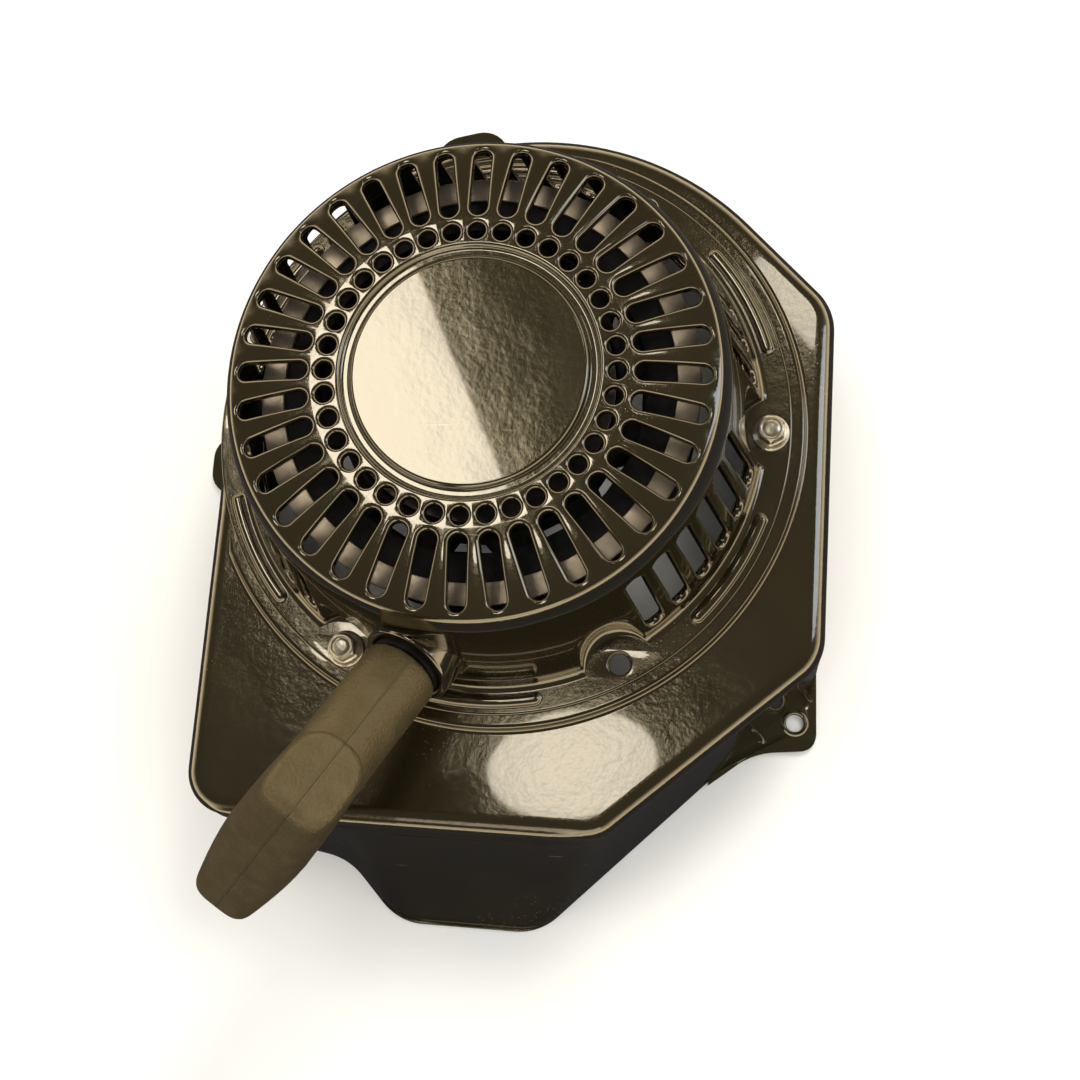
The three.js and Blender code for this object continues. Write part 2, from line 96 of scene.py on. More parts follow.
def bezier(a, b, c, d, t):
    return a * (1 - t) ** 3 + 3 * b * t * (1 - t) ** 2 + 3 * c * t * t * (1 - t) + d * t**3


OUTLET = np.array((-19.6, -88.6, 94.3))  # where the rope leaves the case
PULL = unit((-0.3876, -0.7844, 0.4843))  # the way that the grip is pulled
BAR = np.array((0.4607, 0.2902, 0.8388))  # the long way of the grip's cross bar
BAR = unit(BAR - PULL * BAR.dot(PULL))
SIDE = np.cross(BAR, PULL)


def on_pull(points):
    """Points given along the grip's side, bar and pull directions, from the outlet."""
    p = np.array(points, float).reshape(-1, 3)
    return OUTLET + p @ np.array((SIDE, BAR, PULL))


print("rope outlet in the frame:", placed(OUTLET).round(4).tolist())

# %% [markdown]
# ## Camera first
# The camera looks steeply down at the face from a little below and to the right, with a normal
# lens close by, so that the near wall shows and the far one is hidden.

# %% Camera
camera_data = bpy.data.cameras.new("camera")
camera_data.lens = 46.67
camera_data.sensor_width = 36
camera_data.clip_start = 0.01
camera = bpy.data.objects.new("camera", camera_data)
bpy.context.scene.collection.objects.link(camera)
bpy.context.scene.camera = camera
eye = Vector((0.0838, -0.1322, 0.3960))
target = Vector((0.0257, -0.0516, 0))
up = Vector((-0.0706, 0.9975, 0))
back = (eye - target).normalized()
right = up.cross(back).normalized()
turned = Matrix((right, back.cross(right), back)).transposed()
camera.matrix_world = Matrix.Translation(eye) @ turned.to_4x4()
print("camera is", round((eye - target).length, 3), "m from the part")

# %% [markdown]
# ## The rope
# A braided starter rope runs from the reel, through a plastic guide in the case's wall, and up
# the grip's neck to a knot. It is the only cord, and both of its ends are inside the object. As
# the grip is pulled, more rope comes off the reel. One braided tube stands for the whole lead
# from the reel to the knot. A tube with a seamless strip of coordinates round it carries the braid.

# %% A tube along points
def smooth_path(points, step):
    """A smooth line through points, cut into equal steps of about the given length."""
    p = np.array(points, float)
    p = np.vstack([2 * p[0] - p[1], p, 2 * p[-1] - p[-2]])
    line = []
    for i in range(1, len(p) - 2):
        a, b, c, d = p[i - 1], p[i], p[i + 1], p[i + 2]
        for t in np.linspace(0, 1, 24, endpoint=False):
            line.append(0.5 * (2 * b + (c - a) * t + (2 * a - 5 * b + 4 * c - d) * t**2
                               + (3 * b - a - 3 * c + d) * t**3))
    line.append(p[-2])
    line = np.array(line)
    run = np.r_[0, np.cumsum(np.linalg.norm(np.diff(line, axis=0), axis=1))]
    even = np.linspace(0, run[-1], max(2, round(run[-1] / step) + 1))
    return np.stack([np.interp(even, run, line[:, k]) for k in range(3)], 1)


def tube(line, radius, sides, normal=(0, 0, 1)):
    """Points, faces and (along, round) coordinates of a closed tube about a line."""
    radii = np.broadcast_to(radius, len(line))
    along = np.r_[0, np.cumsum(np.linalg.norm(np.diff(line, axis=0), axis=1))]
    tangent = np.gradient(line, axis=0)
    points, faces, uv = [], [], []
    n = np.array(normal, float)
    for i, t in enumerate(tangent):
        t = unit(t)
        n = unit(n - t * n.dot(t))
        b = np.cross(t, n)
        for k in range(sides):
            a = 2 * math.pi * k / sides
            points.append(line[i] + radii[i] * (math.cos(a) * n + math.sin(a) * b))
    for i in range(len(line) - 1):
        for k in range(sides):
            j = (k + 1) % sides
            faces.append((i * sides + k, i * sides + j, (i + 1) * sides + j, (i + 1) * sides + k))
            low, high = k / sides, (k + 1) / sides
            uv.append(((along[i], low), (along[i], high), (along[i + 1], high), (along[i + 1], low)))
    for ring, order in ((0, range(sides - 1, -1, -1)), (len(line) - 1, range(sides))):
        faces.append(tuple(ring * sides + k for k in order))
        uv.append(tuple((along[ring], 0.5) for _ in range(sides)))
    return np.array(points), faces, uv


def piece(name, points, faces, material, uv=None):
    """A new mesh object from points in millimetres above the rim."""
    mesh = bpy.data.meshes.new(name)
    mesh.from_pydata(placed(points).tolist(), [], [tuple(int(i) for i in f) for f in faces])
    if uv:
        layer = mesh.uv_layers.new(name="strip")
        flat = [corner for face in uv for corner in face]
        layer.data.foreach_set("uv", np.array(flat, np.float32).ravel())
    mesh.polygons.foreach_set("use_smooth", [True] * len(mesh.polygons))
    mesh.materials.append(material)
    made = bpy.data.objects.new(name, mesh)
    bpy.context.scene.collection.objects.link(made)
    return made


# %% [markdown]
# ## Shared effects for the finishes
# Several finishes share an effect: the slow ripple that dipping leaves in enamel, fine dust and hair
# scratches, the grain of a textured mould, and the rings that turning leaves in steel. Each
# effect is a node group with named inputs, built once. A group gives out only a mask or a
# height, and the shader itself stays in each material.

# %% A small node builder
def node_group(name, inputs, outputs):
    """An empty shader group with float or vector inputs and float outputs."""
    group = bpy.data.node_groups.new(name, "ShaderNodeTree")
    for label, value in inputs.items():
        kind = "NodeSocketVector" if value is None else "NodeSocketFloat"
        socket = group.interface.new_socket(label, in_out="INPUT", socket_type=kind)
        if value is not None:
            socket.default_value = value
    for label in outputs:
        group.interface.new_socket(label, in_out="OUTPUT", socket_type="NodeSocketFloat")
    return group, group.nodes.new("NodeGroupInput").outputs, group.nodes.new("NodeGroupOutput").inputs


def node(tree, kind, /, **values):
    """Adds a node. A value that is a socket is linked; a name with no such socket is a setting."""
    made = tree.nodes.new(kind)
    for key, value in values.items():
        if not isinstance(value, bpy.types.NodeSocket) and hasattr(made, key):
            setattr(made, key, value)
    for key, value in values.items():
        if isinstance(value, bpy.types.NodeSocket) or not hasattr(made, key):
            label = int(key[1:]) if key[0] == "_" else key.replace("_", " ")
            socket = made.inputs[label]
            if isinstance(value, bpy.types.NodeSocket):
                tree.links.new(value, socket)
            else:
                socket.default_value = value
    return made


def math_node(tree, operation, a, b=0.0):
    return node(tree, "ShaderNodeMath", operation=operation, _0=a, _1=b).outputs[0]


def ramp(tree, value, low, high):
    """0 below low, 1 above high, and a smooth step between."""
    made = node(tree, "ShaderNodeMapRange", interpolation_type="SMOOTHSTEP", Value=value)
    made.inputs["From Min"].default_value = low
    made.inputs["From Max"].default_value = high
    return made.outputs[0]


# %% Enamel ripple, dust and hair scratches
ripple, given, out = node_group("enamel_ripple", {"Vector": None, "Wave": 45.0, "Peel": 430.0}, ["Height"])
wave = node(ripple, "ShaderNodeTexNoise", Vector=given["Vector"], Scale=given["Wave"], Detail=1.0)
peel = node(ripple, "ShaderNodeTexNoise", Vector=given["Vector"], Scale=given["Peel"], Detail=2.0)
both = math_node(ripple, "ADD", wave.outputs["Fac"], math_node(ripple, "MULTIPLY", peel.outputs["Fac"], 0.26))
ripple.links.new(both, out["Height"])

dusty, given, out = node_group("dust_and_scratches", {"Vector": None, "Specks": 900.0},
                               ["Dust", "Scratch", "Smear"])
specks = node(dusty, "ShaderNodeTexVoronoi", Vector=given["Vector"], Scale=given["Specks"])
patches = node(dusty, "ShaderNodeTexNoise", Vector=given["Vector"], Scale=28.0, Detail=3.0)
rare = ramp(dusty, patches.outputs["Fac"], 0.59, 0.7)
speck = math_node(dusty, "SUBTRACT", 1.0, ramp(dusty, specks.outputs["Distance"], 0.05, 0.14))
dusty.links.new(math_node(dusty, "MULTIPLY", speck, rare), out["Dust"])
bent = node(dusty, "ShaderNodeMapping", Vector=given["Vector"])
bent.inputs["Rotation"].default_value = (0.3, 0.2, 0.9)
bent.inputs["Scale"].default_value = (40, 900, 300)
hairs = node(dusty, "ShaderNodeTexNoise", Vector=bent.outputs[0], Scale=1.0, Detail=1.0)
hair = ramp(dusty, hairs.outputs["Fac"], 0.75, 0.775)
worn = node(dusty, "ShaderNodeTexNoise", Vector=given["Vector"], Scale=17.0, Detail=1.0)
scratched = math_node(dusty, "MULTIPLY", hair, ramp(dusty, worn.outputs["Fac"], 0.52, 0.64))
dusty.links.new(scratched, out["Scratch"])
dusty.links.new(patches.outputs["Fac"], out["Smear"])
print("groups:", ripple.name, dusty.name)

# %% Mould grain, and the rings of turned steel
grain, given, out = node_group("mould_grain", {"Vector": None, "Scale": 1500.0}, ["Height", "Mottle"])
cells = node(grain, "ShaderNodeTexVoronoi", Vector=given["Vector"], Scale=given["Scale"])
pits = node(grain, "ShaderNodeTexNoise", Vector=given["Vector"], Scale=given["Scale"], Detail=3.0)
grain.links.new(math_node(grain, "ADD", cells.outputs["Distance"], pits.outputs["Fac"]), out["Height"])
mottle = node(grain, "ShaderNodeTexNoise", Vector=given["Vector"], Scale=160.0, Detail=5.0)
grain.links.new(mottle.outputs["Fac"], out["Mottle"])

rings, given, out = node_group("turned_rings", {"Vector": None, "Rings": 2400.0}, ["Height", "Tone"])
split = node(rings, "ShaderNodeSeparateXYZ", Vector=given["Vector"])
across = node(rings, "ShaderNodeCombineXYZ", X=split.outputs[0], Y=split.outputs[1])
radius = node(rings, "ShaderNodeVectorMath", operation="LENGTH", _0=across.outputs[0])
place = node(rings, "ShaderNodeCombineXYZ",
             X=math_node(rings, "MULTIPLY", radius.outputs["Value"], given["Rings"]),
             Y=math_node(rings, "MULTIPLY", split.outputs[2], given["Rings"]))
lines = node(rings, "ShaderNodeTexNoise", Vector=place.outputs[0], Scale=1.0, Detail=2.0)
rings.links.new(lines.outputs["Fac"], out["Height"])
tone = node(rings, "ShaderNodeTexNoise", Vector=given["Vector"], Scale=120.0, Detail=4.0)
rings.links.new(tone.outputs["Fac"], out["Tone"])
print("groups:", grain.name, rings.name)

# %% [markdown]
# ## The finishes
# Dipped enamel is a dark body under a clear, wet-looking skin, so it has a coat over a dark
# base, and its bump is the slow ripple. Its reflections do most of the work. The grip is grained plastic.
# Zinc, bare steel and spring steel are metals with their own tones and scratches.

# %% Materials
def start_material(name, colour, roughness, metallic=0.0, **fixed):
    """A Principled material with Object coordinates; fixed values go straight on its sockets."""
    made = bpy.data.materials.new(name)
    made.use_nodes = True
    tree = made.node_tree
    shader = tree.nodes["Principled BSDF"]
    for label, value in {"Base Color": (*colour, 1), "Roughness": roughness, "Metallic": metallic}.items():
        shader.inputs[label].default_value = value
    for label, value in fixed.items():
        shader.inputs[label.replace("_", " ")].default_value = value
    coordinates = tree.nodes.new("ShaderNodeTexCoord").outputs["Object"]
    return made, tree, shader, coordinates


def effect(tree, group, vector, **values):
    made = tree.nodes.new("ShaderNodeGroup")
    made.node_tree = group
    tree.links.new(vector, made.inputs["Vector"])
    for label, value in values.items():
        made.inputs[label].default_value = value
    return made.outputs


def bump(tree, shader, height, distance, strength=1.0):
    made = node(tree, "ShaderNodeBump", Height=height, Distance=distance, Strength=strength)
    tree.links.new(made.outputs["Normal"], shader.inputs["Normal"])
    return made


def between(tree, mask, first, second):
    """A colour that goes from first to second with a mask."""
    made = node(tree, "ShaderNodeMix", data_type="RGBA")
    tree.links.new(mask, made.inputs[0])
    for socket, colour in ((made.inputs[6], first), (made.inputs[7], second)):
        if isinstance(colour, bpy.types.NodeSocket):
            tree.links.new(colour, socket)
        else:
            socket.default_value = (*colour, 1)
    return made.outputs[2]


def enamel(name, colour, wave, depth):
    """Dark glossy dip paint; its base only roughens where dust lies."""
    made, tree, shader, at = start_material(name, colour, 0.2, 0.0, Coat_Weight=1.0, Coat_Roughness=0.035,
                                            Coat_IOR=1.85, IOR=1.8, Coat_Tint=(1, 0.92, 0.74, 1))
    dust = effect(tree, dusty, at)
    body = between(tree, ramp(tree, dust["Smear"], 0.35, 0.7), colour, [c * 1.6 for c in colour])
    marked = between(tree, math_node(tree, "MULTIPLY", dust["Scratch"], 0.55), body, (0.30, 0.26, 0.2))
    speckled = between(tree, math_node(tree, "MULTIPLY", dust["Dust"], 0.8), marked, (0.62, 0.58, 0.5))
    tree.links.new(speckled, shader.inputs["Base Color"])
    rough = math_node(tree, "ADD", math_node(tree, "MULTIPLY", dust["Dust"], 0.4), 0.17)
    tree.links.new(rough, shader.inputs["Roughness"])
    heights = effect(tree, ripple, at, Wave=wave)
    bump(tree, shader, heights["Height"], depth)
    return made


DARK_OLIVE = (0.0068, 0.0054, 0.0018)
COVER_ENAMEL = enamel("cover_enamel", DARK_OLIVE, 40.0, 0.00034)
CASE_ENAMEL = enamel("case_enamel", DARK_OLIVE, 55.0, 0.00023)

GRIP_PLASTIC, tree, shader, at = start_material("grip_plastic", (0.08, 0.06, 0.03), 0.5,
                                                Specular_IOR_Level=0.6, Specular_Tint=(1, 0.84, 0.6, 1))
feel = effect(tree, grain, at, Scale=1100.0)
tone = between(tree, ramp(tree, feel["Mottle"], 0.2, 0.85), (0.066, 0.049, 0.022), (0.092, 0.070, 0.033))
off_side = node(tree, "ShaderNodeVectorMath", operation="DOT_PRODUCT", _0=at, _1=tuple(SIDE))
off_side = math_node(tree, "SUBTRACT", off_side.outputs["Value"], float(np.dot(SIDE, placed(OUTLET)[0])))
parting = ramp(tree, math_node(tree, "ABSOLUTE", off_side), 0.0001, 0.00045)
tree.links.new(between(tree, parting, (0.075, 0.06, 0.03), tone), shader.inputs["Base Color"])
rough = math_node(tree, "ADD", math_node(tree, "MULTIPLY", feel["Mottle"], 0.2), 0.34)
tree.links.new(rough, shader.inputs["Roughness"])
relief = math_node(tree, "ADD", feel["Height"], math_node(tree, "MULTIPLY", parting, -2.0))
bump(tree, shader, relief, 0.00016)


def worn_finish(name, roughness, metallic, effect_group, tones, depth, rough=None, scale=None, **fixed):
    """A finish whose tone, roughness and bump come from one effect. tones is (low, high, first, second)."""
    low, high, first, second = tones
    made, tree, shader, at = start_material(name, first, roughness, metallic, **fixed)
    feel = effect(tree, effect_group, at, **({"Scale": scale} if scale else {}))
    tone = feel["Tone" if effect_group == rings else "Mottle"]
    tree.links.new(between(tree, ramp(tree, tone, low, high), first, second), shader.inputs["Base Color"])
    if rough:
        spread, least = rough
        uneven = math_node(tree, "ADD", math_node(tree, "MULTIPLY", tone, spread), least)
        tree.links.new(uneven, shader.inputs["Roughness"])
    bump(tree, shader, feel["Height"], depth)
    return made


ZINC_PLATE = worn_finish("zinc_plate", 0.34, 1.0, grain, (0.35, 0.7, (0.72, 0.69, 0.62), (0.46, 0.44, 0.4)),
                         0.00004, (0.35, 0.16), 1100.0)
BARE_STEEL = worn_finish("bare_steel", 0.42, 0.85, rings, (0.3, 0.75, (0.46, 0.40, 0.33), (0.30, 0.26, 0.21)),
                         0.00006, (0.35, 0.25))
SPRING_STEEL = worn_finish("spring_steel", 0.3, 0.9, grain, (0.35, 0.7, (0.09, 0.09, 0.095), (0.2, 0.18, 0.15)),
                           0.00003, scale=600.0)
BLACK_PLASTIC = worn_finish("black_plastic", 0.6, 0.0, grain,
                            (0.35, 0.75, (0.004, 0.004, 0.0045), (0.012, 0.0115, 0.011)),
                            0.00005, (0.25, 0.48), 900.0, Specular_IOR_Level=0.15)
print("materials:", [m.name for m in bpy.data.materials])

# %% [markdown]
# ## Pressed sheet
# The case and the cover are each one pressed sheet. A press leaves no sharp edge: each slot has
# a lip that rolls down into it, and each bend is round. A boolean cut would leave a sharp rim
# and uneven faces, which show at once in gloss. So the sheet is laid out as tiles. A tile
# is a small patch with one hole, and its rows of points run from the tile's border, over the
# lip and down. The tiles share their border points, so they weld into one smooth skin, and
# Solidify then gives the skin its thickness.

# %% A sheet laid out in patches
class Sheet:
    """Points and faces of a skin, in millimetres, gathered patch by patch."""

    def __init__(self):
        self.points, self.faces = [], []

    def rows(self, rows, closed=True):
        """Quads between rows of equal length; a closed row joins its own ends."""
        rows = np.array(rows, float)
        base, (count, length) = len(self.points), rows.shape[:2]
        self.points.extend(rows.reshape(-1, 3))
        for i in range(count - 1):
            for k in range(length if closed else length - 1):
                j = (k + 1) % length
                low, high = base + i * length, base + (i + 1) * length
                self.faces.append((low + k, low + j, high + j, high + k))

    def zipped(self, first, second):
        """Triangles between two rows whose counts differ."""
        base, n, m = len(self.points), len(first), len(second)
        self.points.extend(np.array(first, float))
        self.points.extend(np.array(second, float))
        share = []
        for row in (first, second):
            run = np.r_[0, np.cumsum(np.linalg.norm(np.diff(row, axis=0), axis=1))]
            share.append(run / run[-1])
        i = j = 0
        while i < n - 1 or j < m - 1:
            if j == m - 1 or (i < n - 1 and share[0][i + 1] <= share[1][j + 1]):
                self.faces.append((base + i, base + i + 1, base + n + j))
                i += 1
            else:
                self.faces.append((base + i, base + n + j + 1, base + n + j))
                j += 1

    def flat(self, loops):
        """Fills a level area between an outer loop and the holes in it."""
        base = len(self.points)
        for loop in loops:
            self.points.extend(np.array(loop, float))
        found = tessellate_polygon([[Vector(p) for p in loop] for loop in loops])
        self.faces.extend(tuple(base + i for i in face) for face in found)


def weld(bm):
    same_point = 0.02 * MM
    bmesh.ops.remove_doubles(bm, verts=bm.verts, dist=same_point)
    bmesh.ops.dissolve_degenerate(bm, dist=same_point / 2, edges=bm.edges)


def applied(obj):
    """The object with its modifiers made real, in a plain mesh."""
    depsgraph = bpy.context.evaluated_depsgraph_get()
    mesh = bpy.data.meshes.new_from_object(obj.evaluated_get(depsgraph))
    old, obj.data = obj.data, mesh
    obj.modifiers.clear()
    bpy.data.meshes.remove(old)
    mesh.name = obj.name
    return obj


def modified(obj, kind, **values):
    """Adds one modifier, sets it, and makes it real at once."""
    modifier = obj.modifiers.new(kind.lower(), kind)
    for key, value in values.items():
        setattr(modifier, key, value)
    return applied(obj)


# %% [markdown]
# ## One tree for everything that repeats round the crank
# Slots, louvres, bolts, nuts and reel windows all stand in a ring, alone or in groups. Geometry
# Nodes set copies round the axis: the copy's number gives its group and its place in the
# group, and those give its angle.

# %% The ring tree
def ring_tree():
    tree = bpy.data.node_groups.new("copies_round_the_crank", "GeometryNodeTree")
    tree.is_modifier = True
    face = tree.interface
    face.new_socket("Geometry", in_out="INPUT", socket_type="NodeSocketGeometry")
    for label, kind, value in (("Groups", "Int", 1), ("Per Group", "Int", 36), ("Pitch", "Float", 10.0),
                               ("Group Pitch", "Float", 60.0), ("Start", "Float", 0.0)):
        face.new_socket(label, in_out="INPUT", socket_type=f"NodeSocket{kind}").default_value = value
    face.new_socket("Finish", in_out="INPUT", socket_type="NodeSocketMaterial")
    face.new_socket("Geometry", in_out="OUTPUT", socket_type="NodeSocketGeometry")
    given = tree.nodes.new("NodeGroupInput").outputs

    def sum_of(operation, a, b):
        return node(tree, "ShaderNodeMath", operation=operation, _0=a, _1=b).outputs[0]

    index = tree.nodes.new("GeometryNodeInputIndex").outputs[0]
    count = sum_of("MULTIPLY", given["Groups"], given["Per Group"])
    group = sum_of("FLOOR", sum_of("DIVIDE", sum_of("ADD", index, 0.5), given["Per Group"]), 0.0)
    within = sum_of("SUBTRACT", index, sum_of("MULTIPLY", group, given["Per Group"]))
    middle = sum_of("DIVIDE", sum_of("SUBTRACT", given["Per Group"], 1.0), 2.0)
    angle = sum_of("MULTIPLY", sum_of("SUBTRACT", within, middle), given["Pitch"])
    angle = sum_of("ADD", angle, sum_of("MULTIPLY", group, given["Group Pitch"]))
    angle = sum_of("RADIANS", sum_of("ADD", angle, given["Start"]), 0.0)
    turn = node(tree, "ShaderNodeCombineXYZ", Z=angle).outputs[0]
    points = node(tree, "GeometryNodePoints", Count=count)
    copies = node(tree, "GeometryNodeInstanceOnPoints", Points=points.outputs[0], Instance=given["Geometry"],
                  Rotation=turn)
    real = node(tree, "GeometryNodeRealizeInstances", Geometry=copies.outputs[0])
    finish = node(tree, "GeometryNodeSetMaterial", Geometry=real.outputs[0], Material=given["Finish"])
    tree.links.new(finish.outputs[0], tree.nodes.new("NodeGroupOutput").inputs[0])
    return tree


RING_TREE = ring_tree()


def in_ring(obj, material, per_group, pitch, groups=1, group_pitch=60.0, start=0.0):
    """Sets copies of a piece round the crank axis, through the ring tree."""
    modifier = obj.modifiers.new("ring", "NODES")
    modifier.node_group = RING_TREE
    values = {"Groups": groups, "Per Group": per_group, "Pitch": float(pitch),
              "Group Pitch": float(group_pitch), "Start": float(start), "Finish": material}
    for item in RING_TREE.interface.items_tree:
        if item.item_type == "SOCKET" and item.in_out == "INPUT" and item.name in values:
            modifier[item.identifier] = values[item.name]
    return applied(obj)


def ring_of(sheet, material, **ring):
    """The copies of one tile, as a bare mesh."""
    tile = in_ring(piece("tile", sheet.points, sheet.faces, material), material, **ring)
    mesh = tile.data
    bpy.data.objects.remove(tile)
    return mesh


print("ring tree has", len(RING_TREE.nodes), "nodes")

# %% [markdown]
# ## The starter case
# The case is a cup, open at the back, pressed from thin steel. Its face has a flat disc
# in a shallow groove, 36 small holes, and 36 long radial slots on a gentle dome. Air
# for the engine comes in through these and through 30 upright slots in the wall. Six arched
# pockets leave room for a bolt and a socket, and the flange has a raised bead between them.

# %% The case's own lines
STEP = 1.25  # degrees between columns of points round the case
TILE_IN, TILE_MIDDLE, TILE_OUT = 41.2, 49.1, 75.2
SHIFT = 1.25  # the slots stand this far round from the bolts
WALL_TOP, WALL_FOOT, FLANGE_Z, FLANGE_R, BOLT_R = 114.0, 70.0, 66.6, 99.0, 92.0
CASE_SHEET, COVER_SHEET = 1.2, 1.4  # thickness of the two pressed sheets
LOUVRE = (71.2, 112.6, 4.25)  # lowest and highest point, and half the width
LIPS = ((-0.5, 0), (-0.12, 0.04), (0.25, 0.17), (0.6, 0.44), (0.87, 0.87), (1.02, 1.4), (1.06, 2.0),
        (1.06, 2.6))  # (inwards, down) steps over a slot's rolled edge
HOLE_LIPS = ((-0.3, 0), *LIPS[1:])


def face_height(r):
    """Height of the face above the rim: the disc's groove, then the dome."""
    groove = smoothstep(r, 35.9, 37.5) - smoothstep(r, 39.2, 40.9)
    return FACE_Z - 1.6 * groove - 3.7 * (np.maximum(0, r - 45) / 29.5) ** 2


LEAN = math.atan(9.4 / 45)  # how far the wall leans out towards its foot


def wall_radius(z):
    return 79 + (116 - z) * math.tan(LEAN)


def on_face(points, depth):
    """Flat (along a radius, across it) points, set on the face and sunk by depth."""
    p = np.array(points, float)
    return np.column_stack([p, face_height(np.hypot(p[:, 0], p[:, 1])) - depth])


def on_wall(points, depth):
    """(height, distance round) points, set on the wall and sunk by depth."""
    p = np.array(points, float)
    radius = wall_radius(p[:, 0])
    return around(p[:, 1] / radius, radius - depth * math.cos(LEAN), p[:, 0] - depth * math.sin(LEAN))


def slot_outline(low, high, half, cap_steps, side_steps):
    """A slot with round ends between low and high along X, half wide each way."""
    middle = np.radians(np.linspace(-60, 60, cap_steps + 1))
    top, bottom = high - half, low + half
    arc = lambda centre, angles: [(centre + half * math.cos(t), half * math.sin(t)) for t in angles]
    side = np.linspace(top, bottom, side_steps + 1)[1:-1]
    points = arc(top, middle) + arc(top, np.radians((75, 90))) + [(x, half) for x in side]
    points += arc(bottom, np.radians((90, 105))) + arc(bottom, middle + math.pi)
    points += arc(bottom, np.radians((255, 270))) + [(x, -half) for x in side[::-1]]
    return np.array(points + arc(top, np.radians((270, 285))))


def tile_border(outline, low, high, half_angle, cap_steps, place):
    """Border points of a tile, one for each point of the slot's outline."""
    side = len(outline) // 2 - cap_steps - 1
    cap = np.linspace(-half_angle, half_angle, cap_steps + 1)
    x = outline[cap_steps + 1:cap_steps + 1 + side, 0]
    border = [(high, a) for a in cap] + [(v, half_angle) for v in x]
    border += [(low, a) for a in cap[::-1]] + [(v, -half_angle) for v in x[::-1]]
    return [place(v, math.radians(a)) for v, a in border]


def holed_tile(low, high, half_angle, slot, cap_steps, side_steps, place, surface, lips=LIPS):
    """Rows of a tile: its border, then the slot's lip, sunk row by row."""
    outline = lambda o: slot_outline(slot[0] + o, slot[1] - o, slot[2] - o, cap_steps, side_steps)
    rows = [surface(tile_border(outline(0), low, high, half_angle, cap_steps, place), 0)]
    return rows + [surface(outline(offset), depth) for offset, depth in lips]


print("wall leans", round(math.degrees(LEAN), 1), "degrees")

# %% Rings of slots, small holes and louvres
across_face = lambda r, a: (r * math.cos(a), r * math.sin(a))
across_wall = lambda z, a: (z, a * wall_radius(z))
face_tile = Sheet()
face_tile.rows(holed_tile(TILE_MIDDLE, TILE_OUT, 5, (49.5, 74.5, 3.75), 8, 6, across_face, on_face))
face_tile.rows(holed_tile(TILE_IN, TILE_MIDDLE, 5, (41.6, 48.7, 3.55), 8, 1, across_face, on_face, HOLE_LIPS))
louvre_tile = Sheet()
louvre_tile.rows(holed_tile(WALL_FOOT, WALL_TOP, 3.75, LOUVRE, 6, 6, across_wall, on_wall))
case_skin = [
    ring_of(face_tile, CASE_ENAMEL, per_group=36, pitch=10, start=SHIFT + 175),
    ring_of(louvre_tile, CASE_ENAMEL, per_group=6, pitch=7.5, groups=5, start=-30),
]
print("face and louvres:", [len(m.polygons) for m in case_skin], "faces")

# %% Disc, shoulder, plain wall and bolt pockets
columns = np.radians(np.arange(0, 360, STEP))
ring = lambda r, z: around(columns, r, z)
case = Sheet()
disc_r = [0, 3, 12, 22, 30, 34, 35.5, *np.arange(35.9, 38, 0.4), 38.8, *np.arange(39.2, 41, 0.4), TILE_IN]
case.rows([ring(r, float(face_height(r))) for r in disc_r])
start = np.array((TILE_OUT, face_height(TILE_OUT)))
end = np.array((wall_radius(WALL_TOP), WALL_TOP))
corner = np.array((77.9, 121.3))
roundness = 0.62
handles = [q + roundness * (corner - q) for q in (start, end)]
case.rows([ring(*bezier(start, *handles, end, t)) for t in np.linspace(0, 1, 10)])

tile_rows = tile_border(slot_outline(*LOUVRE, 6, 6), WALL_FOOT, WALL_TOP, 3.75, 6, across_wall)
side_z = sorted({round(z, 6) for z, _ in tile_rows})  # heights where a louvre tile meets its neighbour
plain = np.radians(np.arange(247.5, 292.6, STEP))
case.rows([around(plain, wall_radius(z), z) for z in side_z], False)


def pocket_radius(angle, z):
    """Distance of the wall from the crank axis where a bolt pocket is pressed into it."""
    d, wall = BOLT_R * math.sin(angle), wall_radius(z)
    reach, dome_foot, dome_height = 12.0, 84, 15
    if z >= dome_foot:
        reach *= math.sqrt(max(0, 1 - ((z - dome_foot) / dome_height) ** 2))
    if abs(d) < reach:
        pocket = BOLT_R * math.cos(angle) - math.sqrt(reach**2 - d**2)
    else:
        pocket = BOLT_R + 5 * (abs(d) - reach)
    blend = 0.7
    low = min(wall, pocket)
    return low - blend * math.log(math.exp((low - wall) / blend) + math.exp((low - pocket) / blend))


u = np.linspace(-1, 1, 37)
pocket_angles = np.radians(7.3 * (1.3 * u - 0.3 * u**3))
pocket_z = np.r_[WALL_FOOT, np.linspace(72, 84, 7), np.linspace(85, 98, 14), np.linspace(100, 113, 7)]
edge = math.radians(7.5)
spot = lambda r, a, z: (r * math.cos(a), r * math.sin(a), z)
pocket = Sheet()
fine = [[spot(pocket_radius(a, z), a, z) for a in pocket_angles] for z in pocket_z]
pocket.rows(fine, False)
for sign, column in ((-1, 0), (1, -1)):
    border = [spot(wall_radius(z), sign * edge, z) for z in side_z]
    pocket.zipped(border, [row[column] for row in fine])
top = [spot(wall_radius(WALL_TOP), a, WALL_TOP) for a in np.radians(np.arange(-7.5, 7.6, STEP))]
pocket.zipped(top, fine[-1])
case_skin.append(ring_of(pocket, CASE_ENAMEL, per_group=6, pitch=60, start=150))
print("pocket:", len(pocket.faces), "faces, six times")

# %% Foot, flange, beads and bolt holes
foot = []  # (angle, radius at the foot) all the way round
for ear in range(6):
    centre = math.radians(60 * ear)
    foot += [(centre - edge, wall_radius(WALL_FOOT))]
    foot += [(centre + a, pocket_radius(a, WALL_FOOT)) for a in pocket_angles]
    foot += [(centre + edge + math.radians(STEP * k), wall_radius(WALL_FOOT)) for k in range(36)]
foot = np.array(foot)


